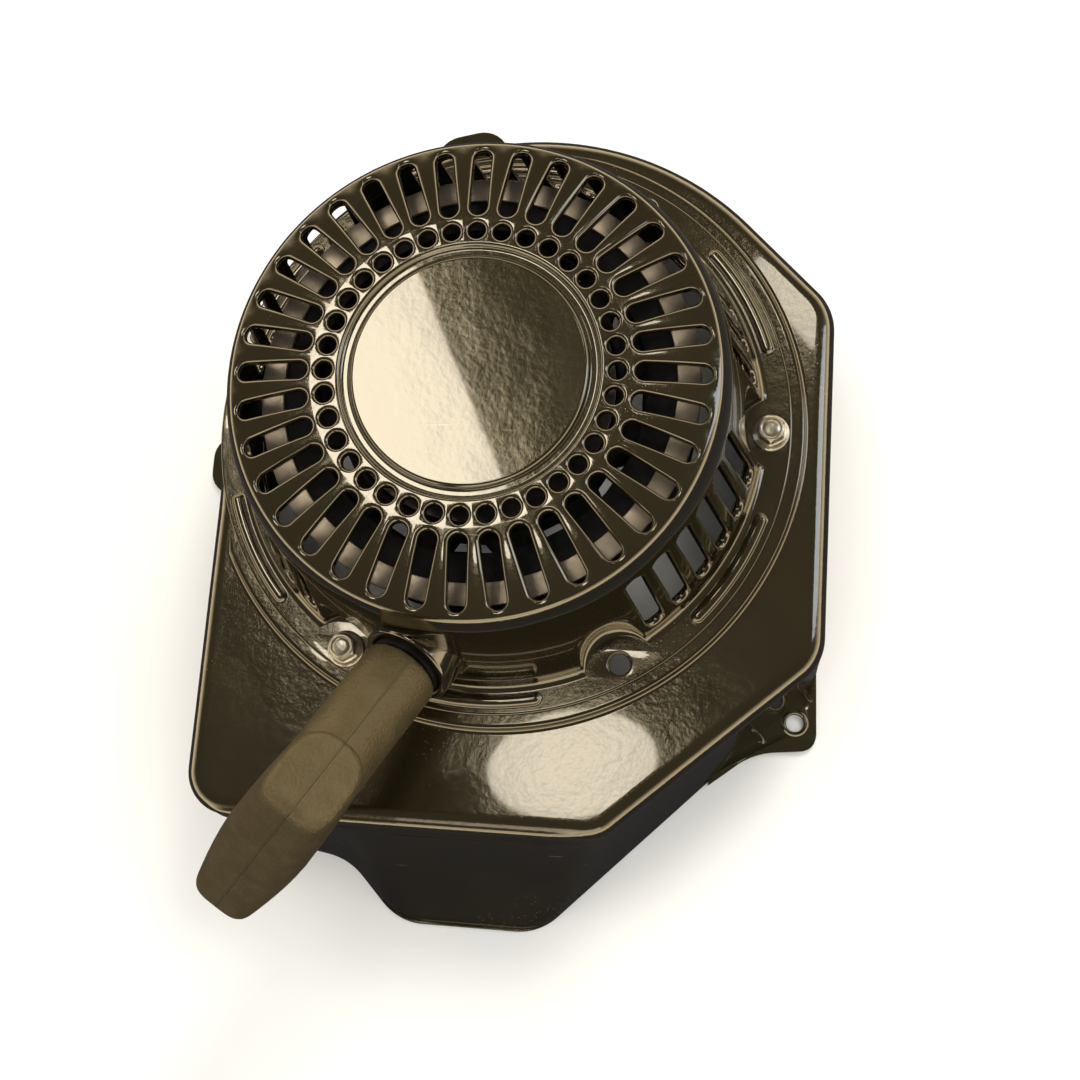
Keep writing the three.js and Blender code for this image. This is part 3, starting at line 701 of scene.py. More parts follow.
def foot_ring(out, z):
    return around(foot[:, 0], foot[:, 1] + out, z)


bend = [(3.0 * (1 - math.cos(t)), WALL_FOOT - 3.4 * math.sin(t)) for t in np.radians((0, 22, 45, 67, 90))]
case.rows([foot_ring(out, z) for out, z in bend] + [foot_ring(3.3, FLANGE_Z)])
rim = [(98.1, FLANGE_Z), (98.4, FLANGE_Z), (98.75, 66.5), (98.95, 66.25), (FLANGE_R, 65.9), (FLANGE_R, 65.4)]
case.rows([ring(r, z) for r, z in rim])
bead_r, bead_half = 94.6, 2.3
bead_rise = ((-0.35, 0), (0, 0), (0.35, 0.3), (0.7, 0.85), (1.1, 1.3), (1.6, 1.5), (2.1, 1.58))


def bead_row(centre, offset, rise):
    outline = slot_outline(-21.5 + offset, 21.5 - offset, bead_half - offset, 6, 18)
    return around(math.radians(centre) + outline[:, 0] / bead_r, bead_r + outline[:, 1], FLANGE_Z + rise)


def hole_row(angle, radius, sink):
    a = np.linspace(0, 2 * math.pi, 28, endpoint=False)
    return around(a, radius, FLANGE_Z - sink) + polar(BOLT_R, angle)


holes = []
for k in range(6):
    rows = [bead_row(30 + 60 * k, *row) for row in bead_rise]
    case.rows(rows)
    case.flat([rows[-1]])
    lip = [hole_row(60 * k, r, d) for r, d in ((4.5, 0), (4.2, 0.05), (3.95, 0.2), (3.75, 0.5), (3.75, 1.2))]
    case.rows(lip)
    holes += [rows[0], lip[0]]
case.flat([ring(98.1, FLANGE_Z), foot_ring(3.3, FLANGE_Z), *holes])
print("flange:", len(case.faces), "faces in the case's own sheet")

# %% Weld the case, open the rope's hole and give the sheet its thickness
def welded(name, sheet, material, meshes=(), cut=None):
    """One piece from a sheet and meshes, its seams merged and its faces turned outwards."""
    made = piece(name, sheet.points, sheet.faces, material)
    bm = bmesh.new()
    bm.from_mesh(made.data)
    for mesh in meshes:
        bm.from_mesh(mesh)
        bpy.data.meshes.remove(mesh)
    weld(bm)
    if cut:
        gone = [f for f in bm.faces if cut(f.calc_center_median())]
        bmesh.ops.delete(bm, geom=gone, context="FACES")
    bmesh.ops.recalc_face_normals(bm, faces=bm.faces)
    for f in bm.faces:
        f.smooth, f.material_index = True, 0
    bm.to_mesh(made.data)
    bm.free()
    return made


def in_rope_hole(p):
    """Whether a point in the frame is inside the round hole that the rope leaves through."""
    offset = np.array(p) / MM + np.array((0, 0, FACE_Z)) - OUTLET
    along = float(offset.dot(PULL))
    return np.linalg.norm(offset - PULL * along) < 13.6 and abs(along) < 30 and p[2] < -0.008


def thickened(skin, thickness):
    """Turns a skin's face upwards and gives it thickness on the other side."""
    if max(skin.data.polygons, key=lambda f: f.center[2]).normal[2] < 0:
        skin.data.flip_normals()
    return modified(skin, "SOLIDIFY", thickness=thickness * MM, offset=-1, use_even_offset=False)


starter_case = welded("starter_case_skin", case, CASE_ENAMEL, case_skin, in_rope_hole)
print("loose edges:", sum(1 for e in starter_case.data.edges if e.is_loose))
thickened(starter_case, CASE_SHEET)
print("case skin:", len(starter_case.data.polygons), "faces")

# %% [markdown]
# The rope leaves the case through a short boss. It is a turned ring about the rope's line, and
# its inner end is hidden inside the case's wall.

# %% Turned pieces and the boss
def quadratic(a, b, c, steps=6):
    a, b, c = (np.array(p, float) for p in (a, b, c))
    return [tuple((1 - t) ** 2 * a + 2 * t * (1 - t) * b + t * t * c) for t in np.linspace(0, 1, steps + 1)]


def turned_rows(profile, segments, closed=True):
    """Rows of points for a [radius, height] profile turned about Z."""
    a = np.linspace(0, 2 * math.pi, segments, endpoint=False)
    path = list(profile) + ([profile[0]] if closed else [])
    return [around(a, r, z) for r, z in path]


def rounded(profile, radius, steps=3, closed=True):
    """A profile with each of its corners rounded."""
    p = [np.array(q, float) for q in profile]
    out = []
    for i, here in enumerate(p):
        if not closed and i in (0, len(p) - 1):
            out.append(tuple(here))
            continue
        before, after = p[i - 1] - here, p[(i + 1) % len(p)] - here
        lengths = np.linalg.norm(before), np.linalg.norm(after)
        cut = min(radius, 0.45 * lengths[0], 0.45 * lengths[1])
        a, b = here + before / lengths[0] * cut, here + after / lengths[1] * cut
        out += quadratic(a, here, b, steps)
    return out


def turned_piece(name, profile, material, segments=120, radius=0.4, place=None, closed=True):
    """A turned piece about the crank axis, or about another line through place."""
    sheet = Sheet()
    rows = turned_rows(rounded(profile, radius, closed=closed), segments, closed)
    sheet.rows([place(row) for row in rows] if place else rows)
    return welded(name, sheet, material)


def joined(name, *parts):
    """Several pieces as one, with their meshes side by side."""
    bm = bmesh.new()
    for part in parts:
        bm.from_mesh(part.data)
    first = parts[0]
    bm.to_mesh(first.data)
    bm.free()
    for part in parts[1:]:
        bpy.data.objects.remove(part)
    first.name = name
    return first


def fitted(obj, slot, body, *nodes):
    """Sets a piece on its body and hides the CAD nodes that it stands for. The slot is not used."""
    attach(obj, body)
    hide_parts(*nodes)
    print(obj.name, "rides on", body, "-", len(obj.data.polygons), "faces")
    return obj


boss = turned_piece("boss", [(12.1, -14), (12.1, -2), (15, -2), (15, -14)], CASE_ENAMEL, 48, 0.9, on_pull)
starter_case = joined("starter_case_skin", starter_case, boss)
fitted(starter_case, "case_enamel", "housing", "starter_case")

# %% [markdown]
# ## The fan cover
# The cover is the pressed housing over the flywheel's fan. Seen from the front its outline is
# half round and half straight, and its lower wall bulges out towards the back rim, where the
# air leaves. Its skin runs through rings of equal count: from the back rim, up the wall, over the
# rounded edge, along the flat face, up the low round step, and to the air opening.

# %% Outlines with rounded corners
ROUND_X, ROUND_Y, ROUND_R = 6.4, 3.6, 106.4  # centre and radius of the round half
COVER_Z, STEP_Z, AIR_R = 62.0, 64.6, 84.0  # heights of the face and the seat, and the air opening


def round_corners(radius):
    half = math.pi / 8
    found = [polar(radius / math.cos(half), a) for a in (67.5, 112.5, 157.5)]
    return [(ROUND_X + x, ROUND_Y + y, radius * math.tan(half)) for x, y, _ in found]


FACE_CORNERS = [(112.4, -74.6, 8), (112.4, 48, 8.3), *round_corners(ROUND_R), (-100, -137, 15),
                (-56, -137, 9), (-34, -137, 8), (42.3, -137, 6), (80, -103.4, 8)]
BACK_CORNERS = [(113.6, -74.8, 8), (113.6, 48.6, 8.3), *round_corners(ROUND_R + 1.5), (-101.5, -143, 14),
                (-56, -150.5, 8), (-35, -172, 9), (17, -172, 9), (68, -121, 8)]
CORNER_STEPS = (10, 12, 26, 26, 26, 16, 10, 10, 12, 8)
SIDE_STEPS = (26, 8, 1, 1, 24, 10, 3, 18, 12, 10)  # straights after each corner


def outline(corners):
    """Points round a shape whose corners are rounded over their tangent lengths."""
    at = [np.array(c[:2], float) for c in corners]
    points = []
    for i, (_, _, tangent) in enumerate(corners):
        before, after = unit(at[i - 1] - at[i]), unit(at[(i + 1) % len(at)] - at[i])
        turn = math.pi - math.acos(float(np.clip(before.dot(after), -1, 1)))
        pull = 2 / 3 if turn < 0.01 else 4 / 3 * math.tan(turn / 4) / math.tan(turn / 2)
        a, d = at[i] + before * tangent, at[i] + after * tangent
        b, c = at[i] + before * tangent * (1 - pull), at[i] + after * tangent * (1 - pull)
        shared = SIDE_STEPS[i - 1] == 1  # arcs that meet share a point
        points += [bezier(a, b, c, d, t) for t in np.linspace(0, 1, CORNER_STEPS[i] + 1)[shared:]]
        following = (i + 1) % len(at)
        reach = at[following] - after * corners[following][2]
        points += [d + (reach - d) * k / SIDE_STEPS[i] for k in range(1, SIDE_STEPS[i])]
    return np.array(points)


def inwards(points, distances):
    """Moves each point of an outline inwards by its own distance."""
    along = np.roll(points, -1, 0) - np.roll(points, 1, 0)
    along /= np.linalg.norm(along, axis=1)[:, None]
    normal = np.column_stack([-along[:, 1], along[:, 0]])
    return points + normal * np.broadcast_to(distances, len(points))[:, None]


face_line, back_line = outline(FACE_CORNERS), outline(BACK_CORNERS)
edge_reach = np.clip((np.linalg.norm(face_line, axis=1) - 98) * 0.9, 1.8, 6.0)
lift = lambda points, z: np.column_stack([points, np.broadcast_to(z, len(points))])
print("outline points:", len(face_line), len(back_line))

# %% [markdown]
# Along the straight bottom edge the press left a double fold: two low beads with a crease between
# them, which catch the light as two thin lines and fade out before the right-hand corner.

# %% The cover's skin
fold = np.clip((38 - face_line[:, 0]) / 10, 0, 1) * np.clip((face_line[:, 1] + 134) / -2.5, 0, 1)
fold *= np.clip((face_line[:, 0] + 92) / 8, 0, 1)
rings_up = [lift(inwards(back_line, 1.2), 0.25), lift(inwards(back_line, 0.5), 0.0)]
WALL_H, EDGE_R = 56, 6  # the wall's height, and the rolled edge's above it
for z in (0.5, 4, 10, 17, 24, 31, 38, 44, 48, 49.5, 50.5, 51.5, 52.5, 53.5, 55):
    s = z / WALL_H
    share = s + 0.48 * s * (1 - s)
    lower_bead = 0.9 * fold * math.exp(-((z - 51.5) / 1.4) ** 2)
    rings_up.append(lift(inwards(back_line + (face_line - back_line) * share, -lower_bead), z))
for t in np.radians(np.linspace(0, 90, 11)):
    crease = 0.9 * fold * np.exp(-((math.degrees(t) - 34) / 10) ** 2)
    rings_up.append(lift(inwards(face_line, edge_reach * (1 - math.cos(t)) - crease * math.cos(t)),
                         WALL_H + (EDGE_R + crease) * math.sin(t)))
rim_line = inwards(face_line, edge_reach)
rim_r = np.linalg.norm(rim_line, axis=1)
outward = rim_line / rim_r[:, None]
base_r, top_r = np.minimum(104.3, rim_r - 1.1), np.minimum(102.7, rim_r - 2.1)
gap = rim_r - base_r
rings_up.append(lift(outward * (rim_r - np.minimum(0.8, gap * 0.3))[:, None], COVER_Z))
rings_up.append(lift(outward * (base_r + np.minimum(1.0, gap * 0.3))[:, None], COVER_Z))
for s in np.linspace(0, 1, 8):
    r = base_r + (top_r - base_r) * s
    rings_up.append(lift(outward * r[:, None], COVER_Z + (STEP_Z - COVER_Z) * smoothstep(s, 0, 1)))
seat_edge = lift(outward * np.minimum(101.6, top_r - 0.4)[:, None], STEP_Z)
rings_up.append(seat_edge)
cover = Sheet()
cover.rows(rings_up)
mouth = ((AIR_R + 1.4, STEP_Z), (AIR_R + 0.6, STEP_Z - 0.15), (AIR_R, STEP_Z - 0.7), (AIR_R, STEP_Z - 2))
mouth = [lift(outward * r, z) for r, z in mouth]
cover.rows(mouth)
bolt_holes = []
for k in range(6):
    bolt_lip = ((4.2, 0), (3.9, 0.04), (3.65, 0.2), (3.5, 0.5), (3.5, 1.2))
    lip = [hole_row(60 * k, r, FLANGE_Z - STEP_Z + d) for r, d in bolt_lip]
    cover.rows(lip)
    bolt_holes.append(lip[0])
cover.flat([seat_edge, mouth[0], *bolt_holes])
fan_cover = thickened(welded("fan_cover_skin", cover, COVER_ENAMEL), COVER_SHEET)
print("cover skin:", len(fan_cover.data.polygons), "faces")

# %% [markdown]
# ## Plates
# Ears, gussets, pawls, nuts and washers are cut plates. Each is an outline with its holes,
# filled at two heights and walled between, and a small bevel then breaks every edge as
# a file or a tumbling drum would.

# %% A plate, and the cover's ears
def arc_points(centre, radius, first, last, steps):
    return [(centre[0] + radius * math.cos(a), centre[1] + radius * math.sin(a))
            for a in np.radians(np.linspace(first, last, steps + 1))]


def circle(x, y, radius, steps=24):
    return arc_points((x, y), radius, 0, 360, steps)[:-1]


def plate(name, loops, low, high, material, bevel=0.35, place=None):
    """A plate with holes between two heights, its edges bevelled."""
    sheet = Sheet()
    for z in (low, high):
        sheet.flat([[(x, y, z) for x, y in loop] for loop in loops])
    for loop in loops:
        sheet.rows([[(x, y, z) for x, y in loop] for z in (low, high)])
    if place:
        sheet.points = [place(np.array(p)) for p in sheet.points]
    made = welded(name, sheet, material)
    if bevel:
        modified(made, "BEVEL", width=bevel * MM, segments=2, limit_method="ANGLE",
                 angle_limit=math.radians(38))
    made.data.polygons.foreach_set("use_smooth", [True] * len(made.data.polygons))
    return made


def spun(degrees, shift=(0, 0, 0)):
    a = math.radians(degrees)
    turn = np.array(((math.cos(a), -math.sin(a), 0), (math.sin(a), math.cos(a), 0), (0, 0, 1)))
    return lambda p: turn @ np.array(p) + np.array(shift)


def gusset(name, length, height, place):
    """An upright triangular rib between an ear and the wall."""
    side = [(0, 0), (length, 0), (length * 0.55, height * 0.3), (0, height)]
    upright = lambda p: place(np.array((p[0], -p[2], p[1])))
    return plate(name, [side], -0.8, 0.8, COVER_ENAMEL, 0.3, upright)


def tongue_ear(name, degrees, base, reach, width, corner):
    half = width / 2
    shape = quadratic((base - 2, -half - 7), (base + 5, -half), (base + 12, -half))
    shape += arc_points((reach - corner, corner - half), corner, -90, 0, 8)
    shape += arc_points((reach - corner, half - corner), corner, 0, 90, 8)
    shape += quadratic((base + 12, half), (base + 5, half), (base - 2, half + 7))
    place = spun(degrees)
    ear = plate(name, [shape, circle(reach - 12, 0, 3.4)], 0, 2, COVER_ENAMEL, 0.4, place)
    sides = (-half * 0.9, half * 0.9)
    return [ear, *[gusset(f"{name}_rib", 13, 14, lambda p, y=y: place(p + (base, y, 1))) for y in sides]]


corner_shape = [(112.9, -72), (113.6, -94), *quadratic((113.6, -94), (113.4, -100), (107.5, -100.4))[1:],
                (98, -101.4), *quadratic((98, -101.4), (90, -102.6), (84, -108))[1:],
                (75.5, -114.7), (75.5, -111), (110.8, -75.8)]
EAR_HOLE = (105.8, -90.3)
ears = [plate("corner_ear", [corner_shape, circle(*EAR_HOLE, 3.2)], 0, 2, COVER_ENAMEL, 0.4)]
for x, y in ((108.6, -79.4), (92.5, -95.6)):
    ears.append(gusset("corner_rib", 5.4, 8.8, lambda p, x=x, y=y: spun(-45, (x, y, 1))(p)))
ears.append(turned_piece("ear_lip", [(3.2, 1.2), (5.0, 1.2), (5.0, 1.9), (4.3, 2.6), (3.7, 2.6), (3.2, 2.1)],
                         COVER_ENAMEL, 40, 0.2, lambda p: p + (*EAR_HOLE, 0)))
ears += tongue_ear("top_ear", 103.5, 106.6, 146, 30, 11) + tongue_ear("side_ear", 180.5, 100.4, 126.4, 24, 9)
fan_cover = joined("fan_cover_skin", fan_cover, *ears)
fitted(fan_cover, "cover_enamel", "housing", "fan_cover")

# %% [markdown]
# ## The grip
# The grip is one moulding of grained plastic: a round neck that slips over the outlet, and a
# cross bar for two fingers each side. The neck runs into the bar through a soft fillet. Two closed
# shapes are fused by a voxel remesh and smoothed, which gives the fillet that a boolean
# would not. The mould's parting line is a fine ridge in the plane of neck and bar.

# %% Grip
NECK_R, NECK_L, BAR_HALF = 12.5, 65.5, 54.0


def bar_row(y, width, thickness, lift_by):
    a = np.linspace(0, 2 * math.pi, 48, endpoint=False)
    bulge = lambda v: np.sign(v) * np.abs(v) ** np.where(np.sin(a) > 1e-9, 0.5, 0.78)
    x, z = bulge(np.cos(a)) * width / 2, bulge(np.sin(a)) * thickness / 2
    return np.column_stack([x, np.full(48, y), z + lift_by])


bar = Sheet()
stations = [-1, -0.998, -0.99, -0.975, -0.95, -0.92, -0.86, -0.7, -0.5, -0.35, -0.2, -0.1, 0]
stations += [-s for s in stations[-2::-1]]
bar_rows = []
for s in stations:
    taper, end = abs(s) ** 1.6, max(0.0, (abs(s) - 0.92) / 0.08)
    scale = 0.8 + 0.2 * math.sqrt(max(0, 1 - end**2))
    bar_rows.append(bar_row(s * BAR_HALF, (26 - 4.5 * taper) * scale, (27 - 1.2 * taper) * scale, NECK_L))
bar.rows([on_pull(row) for row in bar_rows])
for row in (bar_rows[0], bar_rows[-1]):
    bar.rows([on_pull(row * share + row.mean(0) * (1 - share)) for share in (1, 0.5, 0)])
grip = welded("grip", bar, GRIP_PLASTIC)
neck = [(0, 0), (NECK_R, 0), (NECK_R, NECK_L - 15), (NECK_R + 0.8, NECK_L + 4), (0, NECK_L + 4)]
neck = turned_piece("neck", neck, GRIP_PLASTIC, 72, 1.4, on_pull, closed=False)
grip = joined("grip_moulding", grip, neck)
modified(grip, "REMESH", mode="VOXEL", voxel_size=0.75 * MM, use_smooth_shade=True)
modified(grip, "SMOOTH", factor=0.5, iterations=6)
bore = [(0, -2), (3.1, -2), (3.1, NECK_L - 7), (6.8, NECK_L - 6), (6.8, NECK_L + 4), (4.5, NECK_L + 7.4),
        (0, NECK_L + 7.4)]  # a narrow way for the rope, then room for its knot
cutter = turned_piece("bore", bore, GRIP_PLASTIC, 32, 0.5, on_pull, closed=False)
modified(grip, "BOOLEAN", operation="DIFFERENCE", solver="EXACT", object=cutter)
bpy.data.objects.remove(cutter)
grip.data.materials.clear()
grip.data.materials.append(GRIP_PLASTIC)
for face in grip.data.polygons:
    face.material_index = 0
fitted(grip, "grip_plastic", "grip", "pull_handle")

# %% [markdown]
# ## Bolts and nuts
# Three zinc-plated flange bolts hold the case on the cover, each in a nut welded underneath.
# A hexagon head is a row of points whose distance from the axis follows the flats. Where the
# chamfer's circle is smaller than the hexagon, the circle wins, and that draws the curved
# chamfer lines of a real head.

# %% A flange bolt
def hexagon(across, angles, cap=99.0):
    """Distance from the axis to a hexagon's flats, and never more than cap."""
    return np.minimum(across / 2 / np.cos(np.radians((angles + 30) % 60 - 30)), cap)


def bolt_sheet(seat, across, height, flange, shank, tip, crown=0.35):
    angles = np.arange(0, 360, 5.0)
    a = np.radians(angles)
    top, chamfer, inner = seat + height, 1.1, across / 2
    path = [(0, tip), (shank - 0.8, tip), (shank, tip + 1), (shank, seat), (flange - 0.2, seat),
            (flange, seat + 0.2), (flange, seat + 0.6), (flange - 0.2, seat + 0.8), (across * 0.6, seat + 1.4),
            (hexagon(across, angles), seat + 1.5), (hexagon(across, angles), top - chamfer)]
    for share in (0.25, 0.5, 0.75, 1.0):
        circle_r = across * (0.577 - 0.1 * share)
        path.append((hexagon(across, angles, circle_r), top - chamfer + chamfer * share**1.6))
    path += [(r * inner, top + z) for r, z in ((0.86, 0.04), (0.78, 0), (0.72, -crown), (0.68, -crown),
                                               (0.6, -0.02), (0.4, 0.12), (0.2, 0.18), (0, 0.2))]
    sheet = Sheet()
    sheet.rows([around(a, r, z) for r, z in path])
    return sheet


case_bolt = bolt_sheet(FLANGE_Z + 0.3, 8.4, 6.6, 6.2, 2.9, 55)
case_bolt.points = [p + (BOLT_R, 0, 0) for p in case_bolt.points]
case_bolt = ring_of(case_bolt, ZINC_PLATE, per_group=3, pitch=120, start=120)
case_bolts = welded("case_bolts", Sheet(), ZINC_PLATE, [case_bolt])
fitted(case_bolts, "zinc_plate", "housing", "case_bolt_1", "case_bolt_2", "case_bolt_3")
nut_outline = [(BOLT_R + x, y) for x, y, _ in (polar(9.6 / math.sqrt(3), 30 + 60 * k) for k in range(6))]
nut_top = STEP_Z - 1.9
nuts = plate("weld_nuts", [nut_outline, circle(BOLT_R, 0, 3.2)], nut_top - 5, nut_top, ZINC_PLATE, 0.4)
nuts = in_ring(nuts, ZINC_PLATE, per_group=3, pitch=120, start=120)
fitted(nuts, "zinc_plate", "housing", "weld_nut_1", "weld_nut_2", "weld_nut_3")
centre = welded("centre_bolt_zinc", bolt_sheet(-76.6, 10, 6.4, 9.5, 2.9, -101), ZINC_PLATE)
centre.data.transform(Matrix.Translation((0, 0, -FACE_Z * MM)) @ Matrix.Scale(-1, 4, (0, 0, 1))
                      @ Matrix.Translation((0, 0, FACE_Z * MM)))
centre.data.flip_normals()
fitted(centre, "zinc_plate", "housing", "centre_bolt")

# %% [markdown]
# ## The reel and its plate
# The rope winds on a black plastic reel, whose flanges are pierced by spoke windows. A beige
# turned steel plate covers its outer edge and shows through the slots. The reel is turned from one
# profile and its windows are cut by copies of one wedge. Ribs on its back carry the load
# from the hub to the groove.

# %% Reel, ribs, plate and spring cover
REEL_TOP, GROOVE_LOW, GROOVE_R = 107.6, 86.4, 55.0
reel = turned_piece("reel", [
    (9.4, 88), (15, 88), (15, 92), (53, 92), (53, GROOVE_LOW - 2.2), (68.4, GROOVE_LOW - 2.2),
    (68.4, GROOVE_LOW), (GROOVE_R, GROOVE_LOW), (GROOVE_R, 105.8), (68, 105.8), (68, REEL_TOP), (53, REEL_TOP),
    (53, 100.5), (46, 100.5), (46, 109), (44, 109), (44, 95), (13.6, 95), (13.6, 116), (9.4, 116)],
    BLACK_PLASTIC, 144, 0.5)
window_shape = [polar(47.2, -6)[:2], polar(51.8, -8.5)[:2], polar(51.8, 8.5)[:2], polar(47.2, 4)[:2]]
windows = plate("windows", [window_shape], 80, 104, BLACK_PLASTIC, 0)
windows = in_ring(windows, BLACK_PLASTIC, per_group=12, pitch=30, start=165)
modified(reel, "BOOLEAN", operation="DIFFERENCE", solver="EXACT", object=windows)
bpy.data.objects.remove(windows)
rib = plate("rib", [[(15.5, -1), (46, -0.7), (46, 0.7), (15.5, 1)]], 88.6, 92.4, BLACK_PLASTIC, 0.3)
ribs = in_ring(rib, BLACK_PLASTIC, per_group=12, pitch=30, start=180)
reel = joined("rope_reel_moulding", reel, ribs)
fitted(reel, "black_plastic", "reel", "rope_reel")


def flat_ring(name, inner, outer, low, high, material, segments, radius):
    """A turned ring of rectangular section about the crank axis."""
    profile = [(inner, low), (outer, low), (outer, high), (inner, high)]
    return turned_piece(name, profile, material, segments, radius)


plate_ring = flat_ring("reel_plate", 62.5, 69.8, 107.9, 109.4, BARE_STEEL, 180, 0.35)
fitted(plate_ring, "bare_steel", "reel", "reel_rim")
spring_lid = flat_ring("spring_lid", 14.4, 43.5, 107.2, 108.4, SPRING_STEEL, 120, 0.3)
fitted(spring_lid, "spring_steel", "reel", "spring_cover")

# %% [markdown]
# ## Post, guide, springs and ratchet
# Under the face hang a fixed post, the rope's guide, the flat rewind spring, and the
# ratchet: two pawls that the guide plate swings out as the reel turns. Nearly all of this shows only
# from the back or through a slot, so each is a turned, cut or bent piece with its real edges.

# %% Turned and bent pieces of the mechanism
post = turned_piece("centre_post_turned", [
    (0, 104), (3.2, 104), (3.2, 87), (9, 87), (9, 119.5), (13, 121.5), (19, 122.4), (19, 124.1), (0, 124.1)],
    ZINC_PLATE, 72, 0.5, closed=False)
fitted(post, "zinc_plate", "housing", "centre_post")
guide = turned_piece("rope_guide_bush", [
    (6.2, -12.5), (11.8, -12.5), (11.8, -1), (11.2, -0.4), (6.4, -0.4), (4.2, -1.6), (3.4, -4), (3.4, -9),
    (4.2, -11.4)], BLACK_PLASTIC, 72, 0.8, on_pull)
fitted(guide, "black_plastic", "housing", "rope_guide")
washer = flat_ring("thrust_washer_turned", 3.4, 13.5, 84, 86.4, BLACK_PLASTIC, 72, 0.4)
fitted(washer, "black_plastic", "housing", "thrust_washer")

turns = 6
spiral = []
for side in (1, -1):
    s = np.linspace(0, 1, turns * 48 + 1)[::side]
    spiral.append([polar(15 + 27 * v + side * 0.45, 360 * turns * v)[:2] for v in s])
band = Sheet()
walls = [spiral[0], spiral[1][::-1]]
low, high = 95.4, 106.8
loop_rows = [[(x, y, z) for x, y in walls[w]] for w, z in ((0, low), (0, high), (1, high), (1, low), (0, low))]
band.rows(loop_rows, closed=False)
for end in (0, -1):
    band.rows([[loop_rows[0][end], loop_rows[1][end]], [loop_rows[3][end], loop_rows[2][end]]], closed=False)
spring = welded("rewind_spring_band", band, SPRING_STEEL)
modified(spring, "BEVEL", width=0.15 * MM, segments=1, limit_method="ANGLE", angle_limit=math.radians(50))
fitted(spring, "spring_steel", "housing", "rewind_spring")


def wire(name, points, radius, body, node_name):
    """A bent spring wire through points, fitted to its body."""
    points, faces, _ = tube(smooth_path(points, 0.8), radius, 10)
    fitted(piece(name, points, faces, SPRING_STEEL), "spring_steel", body, node_name)


brake_line = [polar(15.5, i * 13.5, 82.4) for i in range(23)]
wire("friction_wire", brake_line, 0.8, "pawl_guide", "friction_spring")

# %% Guide plate and pawls
dish = turned_piece("guide_plate_turned", [
    (4.2, 77.4), (11, 77.4), (12.5, 79.6), (22, 79.6), (22, 81.2), (12, 81.2), (10, 79.2), (4.2, 79.2)],
    ZINC_PLATE, 96, 0.3)
wing_shape = [polar(r, a)[:2] for r, a in ((20, -18), (36, -12), (37, 0), (36, 12), (20, 18))]
wings = [plate("wing", [wing_shape], 79.65, 81.15, ZINC_PLATE, 0.35, spun(a)) for a in (70, 250)]
fitted(joined("guide_plate_turned", dish, *wings), "zinc_plate", "pawl_guide", "guide_plate")


PIVOT = (30, 0, 0)  # a pawl's pin, before the pawl is turned to its side of the reel


def mirrored(turn, places):
    """Turns a ratchet piece, mirrors it, and sets it at its pivot."""
    turned = spun(turn)
    return lambda p: places(turned(p) * (1, -1, 1) + PIVOT)


pawl_shape = [*quadratic((-5.5, -2), (-5.5, 5.5), (2, 5.5)), (15, 8.5), (20.5, 4.5), (18, 1.5),
              *quadratic((8, -3), (2, -6.5), (-2.5, -5)), (-5, -4.4)]
for letter, turn_by in (("a", 0), ("b", 180)):
    place = mirrored(105, spun(turn_by))
    pawl = plate(f"pawl_{letter}_cut", [pawl_shape, circle(0, 0, 3.3)], 85.2, 91.4, BARE_STEEL, 0.45, place)
    fitted(pawl, "bare_steel", f"pawl_{letter}", f"pawl_{letter}")
    pin = [(0, 82.6), (4.6, 82.6), (4.6, 84.2), (3, 84.2), (3, 89.2), (0, 89.2)]
    at_pivot = lambda row, p=spun(turn_by): [p(q + PIVOT) for q in row]
    pin = turned_piece(f"pawl_pin_{letter}_turned", pin, ZINC_PLATE, 40, 0.3, at_pivot, closed=False)
    fitted(pin, "zinc_plate", "reel", f"pawl_pin_{letter}")
    place = mirrored(120, spun(turn_by))
    coil = [polar(6.4, 20 + i * 15, 83.4) for i in range(21)] + [(15.5, -1.5, 83.4)]
    wire(f"pawl_wire_{letter}", [place(p) for p in coil], 0.5, "reel", f"pawl_spring_{letter}")

# %% [markdown]
# ## Braided rope
# The rope's cover is braided from strands that cross in two directions round it. On the tube's
# strip of coordinates, each set of strands is a set of slanted bands, and where the two sets
# cross, one lies over the other in turn.

# %% Rope finish
ROPE, tree, shader, at = start_material("braided_rope", (0.02, 0.018, 0.014), 0.85, Specular_IOR_Level=0.3)
strip = node(tree, "ShaderNodeUVMap", uv_map="strip").outputs[0]
parts = node(tree, "ShaderNodeSeparateXYZ", Vector=strip)
along = math_node(tree, "MULTIPLY", parts.outputs[0], 0.42)
round_it = math_node(tree, "MULTIPLY", parts.outputs[1], 8.0)
strands = []
for sign in ("ADD", "SUBTRACT"):
    phase = math_node(tree, "MULTIPLY", math_node(tree, sign, round_it, along), 2 * math.pi)
    strands.append(math_node(tree, "SINE", phase))
weave = math_node(tree, "MULTIPLY", strands[0], strands[1])
fuzz = node(tree, "ShaderNodeTexNoise", Vector=at, Scale=2500.0, Detail=2.0)
height = math_node(tree, "ADD", weave, fuzz.outputs["Fac"])
# The colour follows the braid's height, so it is darker in the hollows between strands. That darkening is
# painted shade, and the fuzz adds random tone.
tree.links.new(between(tree, ramp(tree, height, -0.4, 1.2), (0.012, 0.011, 0.009), (0.06, 0.054, 0.044)),
               shader.inputs["Base Color"])
bump(tree, shader, height, 0.0002)

# %% Wound turns and the lead to the grip
def rope_piece(name, line, radii, sides):
    points, faces, uv = tube(line, radii, sides)
    length = np.linalg.norm(np.diff(line, axis=0), axis=1).sum()
    print(name, "is", round(float(length)), "mm long")
    return piece(name, points, faces, ROPE, uv)


